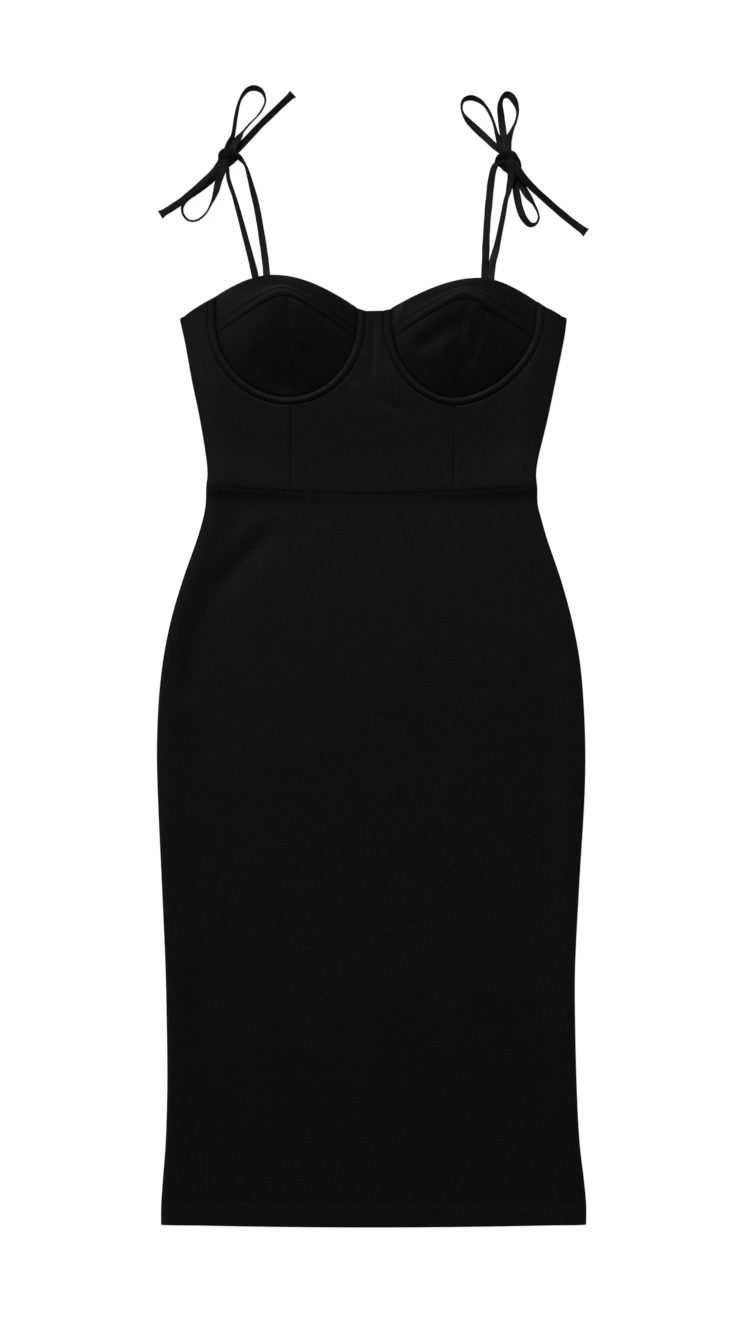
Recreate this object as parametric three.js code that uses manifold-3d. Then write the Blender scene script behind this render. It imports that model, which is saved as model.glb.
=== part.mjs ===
// A black bodycon midi dress with a bustier top, laid flat on its back on a level surface.
// Millimetres. +X is to the right of someone looking down at it, +Y runs from hem to bust, +Z is up.
// The origin lies under the middle of the dress, level with its flat underside.
// The cloth is a stretch double knit, so each panel is a thin wall with its face side out.
import * as THREE from "three";
import { mergeVertices } from "three/addons/utils/BufferGeometryUtils.js";
import loadManifold from "manifold-3d";

// Cloth and seams
const CLOTH = 1.2; // thickness of one layer of the knit
const SEAM_GAP = 0.3; // between pieces that are sewn to each other
const REST_HEIGHT = 2 * CLOTH + SEAM_GAP; // face of the front where it lies on the back
const SIDE_SEAM_HEIGHT = 2.7; // the side seams run along the flattened tube at this height
const SIDE_ROUND = 3; // how far in from the side seam the cloth turns over
const SIDE_ROLL = 2.8; // the springy side edge stands this much over the flat front
const SIDE_ROLL_REACH = 22;

// Lengths along the dress
const BUST_CORNER = 432; // top of the side seam
const WAIST = 263; // waist seam at the side seams
const WAIST_DIP = 7.5; // how much lower the waist seam runs in the middle of the front
const WAIST_HALF = 166; // from the middle to the side seam there
const HEM = -474; // folded hem edge at the side seams
const HEM_DIP = 3;
const HEM_HALF = 214;
const HEM_DEPTH = 20; // turned-up hem, a second layer inside
const HEM_SWELL = 0.4;
const BACK_TOP = 422; // straight top edge of the back, hidden behind the front

// Height of the front over the surface
const BUST_LIFT = 6.6; // bodice front over the flat front at the level of the cups
const BUST_LIFT_SPAN = 135; // it rises over this length above the waist
const BUST_LIFT_SIDE = 30; // and falls away over this width beside the side seams
const HIP_EASE = 2.2; // the hips of the front stand off the back
const HIP_EASE_LENGTH = 330;
const CUP_HEIGHT = 35; // crest of a cup over the surface
const CUP_EDGE_HEIGHT = 13; // neckline edge at the top of a cup
const BAND_SWELL = 0.9; // the band across a cup stands over its seams
const BAND_TILT = 1.6; // its lower seam lies lower than its upper one
const CHANNEL_SWELL = 1.7; // the wire channel stands over the cloth on both sides
const CHANNEL_WIDTH = 8.3;
const PRINCESS_TRIM = 0.0012; // share of the channel's length between two pieces at a princess seam's head

// Width of the flattened dress at each height, and how far its middle lies to the right
const SECTIONS = [
  { at: 450, width: 393.0, shift: 1.4 },
  { at: 430, width: 386.9, shift: 1.8 },
  { at: 410, width: 379.5, shift: 2.6 },
  { at: 370, width: 364.1, shift: 2.2 },
  { at: 330, width: 347.5, shift: 2.1 },
  { at: 290, width: 331.5, shift: 0.6 },
  { at: 275, width: 328.7, shift: 0.2 },
  { at: 263, width: 331.0, shift: 0.1 },
  { at: 245, width: 332.2, shift: 0.1 },
  { at: 230, width: 338.9, shift: 0.6 },
  { at: 210, width: 350.5, shift: 0.5 },
  { at: 170, width: 378.2, shift: 0.3 },
  { at: 130, width: 400.9, shift: -0.1 },
  { at: 90, width: 416.5, shift: -0.2 },
  { at: 50, width: 424.6, shift: -0.5 },
  { at: 0, width: 428.4, shift: -0.5 },
  { at: -50, width: 426.3, shift: -0.4 },
  { at: -130, width: 417.8, shift: -1.0 },
  { at: -210, width: 410.1, shift: -1.3 },
  { at: -250, width: 408.5, shift: -1.0 },
  { at: -330, width: 409.1, shift: 0.3 },
  { at: -390, width: 413.6, shift: 1.0 },
  { at: -430, width: 421.1, shift: 1.8 },
  { at: -455, width: 425.0, shift: 2.1 },
  { at: -480, width: 424.9, shift: 1.9 },
];

// The two cups. A wire channel's outer edge is two superellipse quarters that meet at its lowest point.
// Its straight arms end in a slanted cut, higher at the inner edge.
const CUPS = {
  left: {
    bottom: -82.6, level: 428, depth: 83,
    seamFoot: 0.512, seamHead: -84.4, princessFoot: -80.3, princessHead: 0.506,
    armLeft: { reach: 81, fullness: 2.0, top: 448, slant: 0.5, lean: 0 },
    armRight: { reach: 76, fullness: 2.0, top: 438, slant: 0.3, lean: 0.8 },
    bandLow: { peak: -87.0, height: 450.4, slopeLeft: 0.63, roundLeft: 12, slopeRight: 0.66, roundRight: 12 },
    bandTop: { peak: -89.4, height: 458.6, slopeLeft: 0.61, roundLeft: 12, slopeRight: 0.62, roundRight: 13 },
    neckline: { peak: -98, height: 474, slopeLeft: 0.95, roundLeft: 62, slopeRight: 1, roundRight: 90 },
  },
  right: {
    bottom: 82.9, level: 428, depth: 84,
    seamFoot: 0.5, seamHead: 92.9, princessFoot: 81.6, princessHead: 0.5,
    armLeft: { reach: 71.5, fullness: 1.92, top: 438.3, slant: 0.2, lean: 0 },
    armRight: { reach: 88.5, fullness: 1.75, top: 442, slant: 0.62, lean: 2 },
    bandLow: { peak: 92.4, height: 447.3, slopeLeft: 0.62, roundLeft: 13, slopeRight: 0.65, roundRight: 13 },
    bandTop: { peak: 93.4, height: 457.5, slopeLeft: 0.59, roundLeft: 13, slopeRight: 0.6, roundRight: 13 },
    neckline: { peak: 107, height: 471, slopeLeft: 0.75, roundLeft: 75, slopeRight: 0.9, roundRight: 50 },
  },
};

// Soft folds of the front: each a trough, or a ridge where the depth is negative, along a short line
const FOLDS = [
  { fromX: -118, fromY: 227, toX: -164, toY: 164, width: 11, depth: 2.0 }, // drag line at the left hip
  { fromX: -166, fromY: 158, toX: -187, toY: 60, width: 13, depth: 0.8 }, // its end down the left hip
  { fromX: -166, fromY: 251, toX: -92, toY: 247, width: 5, depth: 1.1 }, // under the waist seam, left
  { fromX: -80, fromY: 246, toX: 80, toY: 246, width: 6, depth: 0.6 }, // under the waist seam, middle
  { fromX: 88, fromY: 247, toX: 166, toY: 251, width: 5, depth: 1.2 }, // under the waist seam, right
  { fromX: 1.6, fromY: 424, toX: 1.0, toY: 378, width: 3.2, depth: 1.4 }, // down the gore
  { fromX: 12.6, fromY: 420, toX: 13.6, toY: 388, width: 3, depth: 0.6 }, // beside it
  { fromX: -24, fromY: 376, toX: -17, toY: 366, width: 4, depth: 0.9 }, // off the left channel
  { fromX: 12, fromY: 350, toX: 30, toY: 338, width: 5, depth: 0.9 }, // off the right channel
  { fromX: 58, fromY: 341, toX: 62, toY: 337, width: 4, depth: 0.6 }, // under the right channel
  { fromX: -104, fromY: 388, toX: -84, toY: 361, width: 6, depth: 1.8 }, // left cup, outer side of its seam
  { fromX: -68, fromY: 408, toX: -65, toY: 372, width: 5, depth: 1.5 }, // left cup, inner side
  { fromX: -76, fromY: 437, toX: -72, toY: 415, width: 4.5, depth: -1.2 }, // left cup, ridge under the band
  { fromX: 80, fromY: 439, toX: 40, toY: 415, width: 5, depth: 1.8 }, // right cup, under the band
  { fromX: 108, fromY: 434, toX: 90, toY: 374, width: 5.5, depth: 2.0 }, // right cup, outer side of its seam
  { fromX: 80, fromY: 428, toX: 74, toY: 404, width: 5, depth: -1.3 }, // right cup, ridge inside its seam
  { fromX: 33, fromY: 446, toX: 25, toY: 427, width: 3, depth: 1.3 }, // right cup, crease at the gore
];

// Tie straps: flat tapes that lie on the surface, and turn on edge as they run into the knots
const TAPE_WIDTH = 7;
const TAPE_THICKNESS = 1.4;
const TAIL_FLARE = 1.35; // a cut end spreads to this share of the tape's width
const TAPE_CORNER = 0.5; // its folded edges are bevelled by this much
const KNOTS = {
  left: { x: -143.1, y: 593.8, width: 20, length: 21.4, height: 10, bandTurn: 40 },
  right: { x: 136.5, y: 585.6, width: 20.2, length: 22.8, height: 11, bandTurn: -30 },
};
const KNOT_BAND = 0.1; // the turn of tape across a knot stands out by this share of its size

// Each stretch of tape: points on the way, lift over the surface, and turn from flat (0) to on edge (90)
const TAPES = {
  left: {
    front_strap: [
      { x: -139.5, y: 594, lift: 2.5, turn: 66 },
      { x: -132.8, y: 591.9, lift: 2, turn: 58 },
      { x: -126.6, y: 585, lift: 1, turn: 74 },
      { x: -123.2, y: 575.5, lift: 0, turn: 63 },
      { x: -119.5, y: 561.6, lift: 0, turn: 48 },
      { x: -115.4, y: 545.6, lift: 0, turn: 36 },
      { x: -112.4, y: 530, lift: 0, turn: 32 },
      { x: -108.6, y: 506.2, lift: 1, turn: 28 },
      { x: -105.9, y: 487, lift: 4.6, turn: 18 },
      { x: -105, y: 478, lift: 6.4, turn: 6 },
      { x: -104.5, y: 471.4, lift: 9.4, turn: 8 },
      { x: -104.3, y: 467.4, lift: 15.2, turn: 10 },
      { x: -104.2, y: 465, lift: 18.2, turn: 10 },
    ],
    back_strap: [
      { x: -144.2, y: 590, lift: 2, turn: 66 },
      { x: -144, y: 581, lift: 1, turn: 64 },
      { x: -142.9, y: 570, lift: 0, turn: 60 },
      { x: -137.9, y: 554.9, lift: 0, turn: 61 },
      { x: -132.3, y: 535.5, lift: 0, turn: 53 },
      { x: -126.7, y: 514.5, lift: 0, turn: 42 },
      { x: -121.1, y: 493.5, lift: 0, turn: 38 },
      { x: -116.4, y: 474, lift: 0, turn: 14 },
      { x: -113.6, y: 456, lift: 0, turn: 6 },
      { x: -112.4, y: 440, lift: 0, turn: 0 },
      { x: -111.9, y: 428, lift: 1.5, turn: 0 },
      { x: -111.7, y: 418, lift: 1.6, turn: 0 },
      { x: -111.7, y: 404, lift: 1.6, turn: 0 },
    ],
    upper_loop: [
      { x: -145, y: 598, lift: 2, turn: 30 },
      { x: -142, y: 605.4, lift: 0.4, turn: 30 },
      { x: -138.8, y: 613, lift: 0, turn: 60 },
      { x: -137.4, y: 620, lift: 0, turn: 66 },
      { x: -135.3, y: 634, lift: 0, turn: 68 },
      { x: -131.5, y: 649, lift: 0, turn: 84 },
      { x: -124.6, y: 659, lift: 0, turn: 63 },
      { x: -117.3, y: 661.5, lift: 0, turn: 50 },
      { x: -110.4, y: 658.8, lift: 0, turn: 61 },
      { x: -106.8, y: 653, lift: 0, turn: 84 },
      { x: -106.5, y: 646.3, lift: 0, turn: 88 },
      { x: -112.3, y: 635.6, lift: 0, turn: 82 },
      { x: -122.2, y: 625.2, lift: 0, turn: 80 },
      { x: -129.2, y: 616.8, lift: 0.6, turn: 68 },
      { x: -132, y: 612.6, lift: 2, turn: 40 },
      { x: -136.6, y: 605, lift: 3.2, turn: 18 },
      { x: -140.4, y: 597, lift: 4.2, turn: 16 },
    ],
    lower_loop: [
      { x: -147, y: 592, lift: 6, turn: 10 },
      { x: -149.8, y: 584.5, lift: 5, turn: 8 },
      { x: -151.4, y: 576.6, lift: 4.8, turn: 6 },
      { x: -153, y: 568, lift: 1.6, turn: 8 },
      { x: -155.3, y: 558.7, lift: 0, turn: 33 },
      { x: -157.5, y: 552, lift: 0, turn: 58 },
      { x: -160.2, y: 546, lift: 0, turn: 73 },
      { x: -165.6, y: 536.2, lift: 0, turn: 85 },
      { x: -174.6, y: 529.2, lift: 0, turn: 73 },
      { x: -182.8, y: 529.3, lift: 0, turn: 76 },
      { x: -188.2, y: 535.2, lift: 0, turn: 87 },
      { x: -189, y: 542, lift: 1, turn: 84 },
      { x: -185, y: 549, lift: 2, turn: 74 },
      { x: -176.4, y: 555.6, lift: 2.2, turn: 66 },
      { x: -167.4, y: 562.2, lift: 2.2, turn: 60 },
      { x: -160.4, y: 569, lift: 2.2, turn: 40 },
      { x: -155.6, y: 576, lift: 2.1, turn: 14 },
      { x: -151, y: 584, lift: 2.1, turn: 6 },
      { x: -147, y: 592, lift: 3.2, turn: 4 },
    ],
    upper_tail: [
      { x: -139, y: 596, lift: 1, turn: 12 },
      { x: -133.4, y: 601.4, lift: 0.6, turn: 12 },
      { x: -126, y: 608.9, lift: 0, turn: 18 },
      { x: -111, y: 624.6, lift: 0, turn: 39 },
      { x: -97.8, y: 637.4, lift: 0, turn: 36 },
      { x: -88, y: 646.9, lift: 0, turn: 30 },
      { x: -78.6, y: 656, lift: 0, turn: 0 },
    ],
    lower_tail: [
      { x: -147, y: 592.6, lift: 0.6, turn: 0 },
      { x: -152.2, y: 585, lift: 0.1, turn: 0 },
      { x: -158.4, y: 577, lift: 0, turn: 0 },
      { x: -172.4, y: 563.6, lift: 0, turn: 0 },
      { x: -187.4, y: 550.6, lift: 0, turn: 0 },
      { x: -200.3, y: 541.8, lift: 0, turn: 0 },
      { x: -211.4, y: 535, lift: 0, turn: 0 },
    ],
  },
  right: {
    front_strap: [
      { x: 138.4, y: 584, lift: 9, turn: 20 },
      { x: 139, y: 573, lift: 6, turn: 22 },
      { x: 137.7, y: 563, lift: 2.4, turn: 34 },
      { x: 136.2, y: 556, lift: 0.6, turn: 52 },
      { x: 134.2, y: 549.7, lift: 0, turn: 58 },
      { x: 131.2, y: 533.1, lift: 0, turn: 50 },
      { x: 128, y: 517.1, lift: 0, turn: 46 },
      { x: 124.9, y: 501.1, lift: 1.5, turn: 36 },
      { x: 121.4, y: 487.2, lift: 4.2, turn: 16 },
      { x: 119.9, y: 473.6, lift: 6.8, turn: 0 },
      { x: 119.7, y: 467, lift: 10.2, turn: -6 },
      { x: 119.4, y: 463, lift: 15, turn: -10 },
      { x: 119, y: 460.4, lift: 17.6, turn: -10 },
    ],
    back_strap: [
      { x: 133, y: 588, lift: 3, turn: 60 },
      { x: 127, y: 587.2, lift: 2, turn: 54 },
      { x: 122.3, y: 581.4, lift: 1, turn: 32 },
      { x: 119.6, y: 569.1, lift: 0, turn: 8 },
      { x: 117.9, y: 553.7, lift: 0, turn: 8 },
      { x: 115.7, y: 530, lift: 0, turn: 20 },
      { x: 114.3, y: 509, lift: 0, turn: 12 },
      { x: 113.5, y: 488, lift: 0, turn: 2 },
      { x: 112.7, y: 470, lift: 0, turn: 0 },
      { x: 110.8, y: 444, lift: 0, turn: 0 },
      { x: 109.8, y: 428, lift: 1.5, turn: 0 },
      { x: 109.6, y: 418, lift: 1.6, turn: 0 },
      { x: 109.6, y: 404, lift: 1.6, turn: 0 },
    ],
    side_loop: [
      { x: 131, y: 596, lift: 1.6, turn: 50 },
      { x: 123.4, y: 603, lift: 0.6, turn: 26 },
      { x: 114.2, y: 612, lift: 0, turn: 6 },
      { x: 104, y: 621.4, lift: 0, turn: 12 },
      { x: 95.5, y: 629.8, lift: 0, turn: 46 },
      { x: 90.9, y: 637.2, lift: 0, turn: 74 },
      { x: 89.9, y: 643.8, lift: 0, turn: 88 },
      { x: 92.2, y: 649.4, lift: 0, turn: 68 },
      { x: 99.4, y: 651.7, lift: 0, turn: 52 },
      { x: 108, y: 648.5, lift: 0, turn: 64 },
      { x: 113.8, y: 643, lift: 0, turn: 78 },
      { x: 118.3, y: 635.7, lift: 0, turn: 86 },
      { x: 122.2, y: 626, lift: 0, turn: 88 },
      { x: 124.2, y: 617, lift: 0, turn: 86 },
      { x: 125.8, y: 608, lift: 0.2, turn: 82 },
      { x: 127.8, y: 600.4, lift: 0.6, turn: 78 },
      { x: 130.9, y: 593, lift: 1, turn: 74 },
    ],
    upper_loop: [
      { x: 136.4, y: 592, lift: 5, turn: 30 },
      { x: 134, y: 601, lift: 4, turn: 10 },
      { x: 132.2, y: 611, lift: 2.9, turn: 4 },
      { x: 131, y: 620, lift: 1.2, turn: 2 },
      { x: 129.3, y: 634, lift: 0, turn: 14 },
      { x: 128.5, y: 645, lift: 0, turn: 50 },
      { x: 131.4, y: 652.9, lift: 0, turn: 62 },
      { x: 136.4, y: 655, lift: 0, turn: 10 },
      { x: 141.1, y: 651.4, lift: 0, turn: 18 },
      { x: 144.9, y: 643.4, lift: 0, turn: 60 },
      { x: 145.8, y: 636.4, lift: 0, turn: 75 },
      { x: 144.1, y: 628, lift: 0, turn: 84 },
      { x: 141, y: 620, lift: 0, turn: 80 },
      { x: 138.4, y: 611, lift: 0.2, turn: 76 },
      { x: 138.6, y: 601, lift: 0.6, turn: 76 },
      { x: 139.6, y: 592, lift: 2, turn: 76 },
    ],
    lower_loop: [
      { x: 140.8, y: 583, lift: 2, turn: 60 },
      { x: 142.4, y: 573.6, lift: 0.2, turn: 40 },
      { x: 143.4, y: 565, lift: 0, turn: 24 },
      { x: 144.8, y: 555, lift: 0, turn: 10 },
      { x: 147.5, y: 543.7, lift: 0, turn: 8 },
      { x: 151.5, y: 532.7, lift: 0, turn: 34 },
      { x: 158, y: 525.1, lift: 0, turn: 52 },
      { x: 163.8, y: 525.6, lift: 0, turn: 78 },
      { x: 167, y: 531.4, lift: 0, turn: 86 },
      { x: 165.7, y: 537.9, lift: 0, turn: 78 },
      { x: 161.6, y: 546, lift: 0, turn: 63 },
      { x: 156.2, y: 554.6, lift: 0, turn: 36 },
      { x: 151.6, y: 564, lift: 0.4, turn: 30 },
      { x: 148.4, y: 573, lift: 1.4, turn: 50 },
      { x: 144.6, y: 583, lift: 1.6, turn: 76 },
    ],
    tail: [
      { x: 141, y: 587.4, lift: 8, turn: 10 },
      { x: 146.2, y: 578.6, lift: 8.2, turn: 10 },
      { x: 152.6, y: 570.4, lift: 6.8, turn: 10 },
      { x: 160, y: 562.4, lift: 4, turn: 12 },
      { x: 169.5, y: 553.9, lift: 0.6, turn: 34 },
      { x: 184.4, y: 540.8, lift: 0, turn: 26 },
      { x: 198.3, y: 529.4, lift: 0, turn: 8 },
      { x: 214.6, y: 517.2, lift: 0, turn: 0 },
    ],
  },
};

// Steps of the panels' grids, and of the tapes between two of their rows
const STEPS = {
  skirtAlong: 20, skirtMiddle: 12, skirtBackAlong: 14, skirtBackMiddle: 4,
  backAlong: 5, backMiddle: 6, princess: 4, sideFrontAcross: 6, sideFrontRound: 3, centreAcross: 14,
  cupAcross: 20, cupLowerAlong: 8, cupUpperAlong: 4, bandAlong: 2, channelLength: 34, channelAcross: 4,
  tapeRow: 1.4, knotAround: 14, knotHigh: 9,
};

const CLOTH_FINISH = { color: 0x131212, roughness: 0.88, metalness: 0 };
const TAPE_FINISH = { color: 0x161515, roughness: 0.72, metalness: 0 };

const solids = await loadManifold();
solids.setup();

const dress = new THREE.Group();
const point = (x, y, z) => new THREE.Vector3(x, y, z);
const mix = THREE.MathUtils.lerp;
const soft = THREE.MathUtils.smoothstep;
const radians = THREE.MathUtils.degToRad;

function addPiece(name, geometry, finish) {
  const mesh = new THREE.Mesh(geometry, new THREE.MeshStandardMaterial(finish));
  mesh.name = name;
  dress.add(mesh);
}

// A smooth value from a table whose rows are sorted from high to low by their place
function fromTable(rows, at, column) {
  let k = rows.findIndex((row) => row.at < at);
  k = THREE.MathUtils.clamp(k < 0 ? rows.length - 1 : k, 1, rows.length - 1);
  const slope = (i) => {
    const above = rows[Math.max(i - 1, 0)];
    const below = rows[Math.min(i + 1, rows.length - 1)];
    return (below[column] - above[column]) / (below.at - above.at);
  };
  const [start, end] = [rows[k - 1], rows[k]];
  const span = end.at - start.at;
  const t = THREE.MathUtils.clamp((at - start.at) / span, 0, 1);
  const held = (1 + 2 * t) * (1 - t) ** 2 * start[column] + t * t * (3 - 2 * t) * end[column];
  return held + span * (t * (1 - t) ** 2 * slope(k - 1) - t * t * (1 - t) * slope(k));
}

function sides(y) {
  const half = fromTable(SECTIONS, y, "width") / 2;
  const shift = fromTable(SECTIONS, y, "shift");
  return { left: shift - half, right: shift + half };
}

// How far the folds sink the cloth at a place
function foldDepth(x, y) {
  let depth = 0;
  for (const fold of FOLDS) {
    const runX = fold.toX - fold.fromX;
    const runY = fold.toY - fold.fromY;
    const along = ((x - fold.fromX) * runX + (y - fold.fromY) * runY) / (runX ** 2 + runY ** 2);
    const t = THREE.MathUtils.clamp(along, 0, 1);
    const away = Math.hypot(x - fold.fromX - t * runX, y - fold.fromY - t * runY);
    depth += fold.depth * Math.exp(-((away / fold.width) ** 2));
  }
  return depth;
}

// The curved lines of the waist seam and the hem
const waistSeam = (x) => WAIST - WAIST_DIP * (1 - Math.min(1, Math.abs(x) / WAIST_HALF) ** 1.4);
const hemEdge = (x) => HEM - HEM_DIP * (1 - Math.min(1, Math.abs(x) / HEM_HALF) ** 2);

// Height of the front's face over the surface, away from the cups
function frontHeight(x, y) {
  const { left, right } = sides(y);
  const fromSide = Math.max(0, Math.min(x - left, right - x));
  const bust = BUST_LIFT * soft(y, WAIST - 18, WAIST + BUST_LIFT_SPAN) * soft(fromSide, 0, BUST_LIFT_SIDE);
  const hips = HIP_EASE * soft(y, WAIST - HIP_EASE_LENGTH, WAIST - 60);
  const roll = SIDE_ROLL * Math.exp(-((fromSide / SIDE_ROLL_REACH) ** 2));
  const hem = HEM_SWELL * (1 - soft(y, HEM + HEM_DEPTH - 4, HEM + HEM_DEPTH + 3));
  const raised = REST_HEIGHT + bust + hips + roll + hem;
  return Math.max(REST_HEIGHT, raised - foldDepth(x, y));
}

// The front's face: beside the side seams it turns over and down to meet the back
function onFront(x, y) {
  const { left, right } = sides(y);
  const nearLeft = x - left < right - x;
  const fromSide = Math.max(0, nearLeft ? x - left : right - x);
  const top = frontHeight(x, y);
  if (fromSide >= SIDE_ROUND) return point(x, y, top);
  const turn = (fromSide / SIDE_ROUND) * (Math.PI / 2);
  const inward = SIDE_ROUND * (1 - Math.cos(turn));
  const foot = SIDE_SEAM_HEIGHT + SEAM_GAP / 2;
  return point(nearLeft ? left + inward : right - inward, y, foot + (top - foot) * Math.sin(turn));
}

// The back's face: flat on the surface, turned up beside the side seams
function onBack(x, y) {
  const { left, right } = sides(y);
  const nearLeft = x - left < right - x;
  const fromSide = Math.max(0, nearLeft ? x - left : right - x);
  if (fromSide >= SIDE_ROUND) return point(x, y, 0);
  const turn = (fromSide / SIDE_ROUND) * (Math.PI / 2);
  const inward = SIDE_ROUND * (1 - Math.cos(turn));
  const top = SIDE_SEAM_HEIGHT - SEAM_GAP / 2;
  return point(nearLeft ? left + inward : right - inward, y, top * (1 - Math.sin(turn)));
}

const even = (steps) => Array.from({ length: steps + 1 }, (_, i) => i / steps);

// Places across a flattened tube, as shares of its width: closer where it turns over at the side seams
function acrossTube(middleSteps) {
  const { left, right } = sides(0);
  const width = right - left;
  const edge = [0, 1, 2, SIDE_ROUND, 8, 15, 24, 38];
  const last = edge[edge.length - 1];
  const middle = even(middleSteps).slice(1, -1).map((t) => mix(last, width - last, t));
  return [...edge, ...middle, ...edge.map((d) => width - d).reverse()].map((d) => d / width);
}

// A cloth wall over a grid of places on its face; its other side is moved in by the cloth's thickness
function clothWall(across, along, surface) {
  const step = 1e-4;
  const face = [];
  const reverse = [];
  for (const v of along) {
    for (const u of across) {
      const place = surface(u, v);
      const alongU = surface(Math.min(u + step, 1), v).sub(surface(Math.max(u - step, 0), v));
      const alongV = surface(u, Math.min(v + step, 1)).sub(surface(u, Math.max(v - step, 0)));
      const outward = alongU.cross(alongV).normalize();
      face.push(place);
      reverse.push(place.clone().addScaledVector(outward, -CLOTH));
    }
  }
  const columns = across.length;
  const rows = along.length;
  const inner = columns * rows;
  const triangles = [];
  const quad = (a, b, c, d) => triangles.push(a, b, c, a, c, d);
  for (let j = 0; j < rows - 1; j++) {
    for (let i = 0; i < columns - 1; i++) {
      const a = j * columns + i;
      quad(a, a + 1, a + 1 + columns, a + columns);
      quad(inner + a, inner + a + columns, inner + a + 1 + columns, inner + a + 1);
    }
  }
  const far = (rows - 1) * columns;
  for (let i = 0; i < columns - 1; i++) {
    quad(inner + i, inner + i + 1, i + 1, i);
    quad(far + i, far + i + 1, inner + far + i + 1, inner + far + i);
  }
  for (let j = 0; j < rows - 1; j++) {
    const a = j * columns;
    const b = a + columns - 1;
    quad(inner + a + columns, inner + a, a, a + columns);
    quad(b + columns, b, inner + b, inner + b + columns);
  }
  const geometry = new THREE.BufferGeometry().setFromPoints([...face, ...reverse]);
  geometry.setIndex(triangles);
  geometry.computeVertexNormals();
  return geometry;
}

// A point on the edge of a cup's wire channel: t runs from 0, at the top of its left arm, to 1 on its right
function channelEdge(cup, t, inset) {
  const armShare = 0.08;
  const onLeft = t < 0.5;
  const arm = onLeft ? cup.armLeft : cup.armRight;
  const fromEnd = onLeft ? t : 1 - t;
  const outward = onLeft ? -1 : 1;
  const reach = arm.reach - inset;
  const depth = cup.depth - inset * 0.92;
  if (fromEnd < armShare) {
    const up = 1 - fromEnd / armShare;
    const top = arm.top + inset * arm.slant;
    return point(cup.bottom + outward * (reach + arm.lean * up), mix(cup.level, top, up), 0);
  }
  const angle = ((fromEnd - armShare) / (0.5 - armShare)) * (Math.PI / 2);
  const bend = 2 / arm.fullness;
  const x = cup.bottom + outward * reach * Math.cos(angle) ** bend;
  return point(x, cup.level - depth * Math.sin(angle) ** bend, 0);
}

// The place along a channel's edge where it crosses a height, on its left or right half
function channelAtHeight(cup, y, inset, onLeft) {
  let [high, low] = onLeft ? [0, 0.5] : [1, 0.5];
  for (let i = 0; i < 30; i++) {
    const middle = (high + low) / 2;
    if (channelEdge(cup, middle, inset).y > y) high = middle;
    else low = middle;
  }
  return (high + low) / 2;
}

// An arch with a rounded peak and its own slope on each side: a cup's band and its neckline
function archHeight(arch, x) {
  const away = x - arch.peak;
  const slope = away < 0 ? arch.slopeLeft : arch.slopeRight;
  const round = away < 0 ? arch.roundLeft : arch.roundRight;
  return arch.height - slope * (Math.hypot(away, round) - round);
}

// Both ends of an arch on the channel's inner edge, found by walking to where they meet
function archEnds(cup, arch) {
  return [true, false].map((onLeft) => {
    let x = channelEdge(cup, onLeft ? 0 : 1, CHANNEL_WIDTH).x;
    for (let i = 0; i < 12; i++) {
      const t = channelAtHeight(cup, archHeight(arch, x), CHANNEL_WIDTH, onLeft);
      x = channelEdge(cup, t, CHANNEL_WIDTH).x;
    }
    return x;
  });
}

// A place on an arch: u is 0 at its left end, one half at the cup's seam, and 1 at its right end
function onArch(arch, ends, seam, u) {
  const x = u < 0.5 ? mix(ends[0], seam, 2 * u) : mix(seam, ends[1], 2 * u - 1);
  return point(x, archHeight(arch, x), 0);
}

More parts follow.
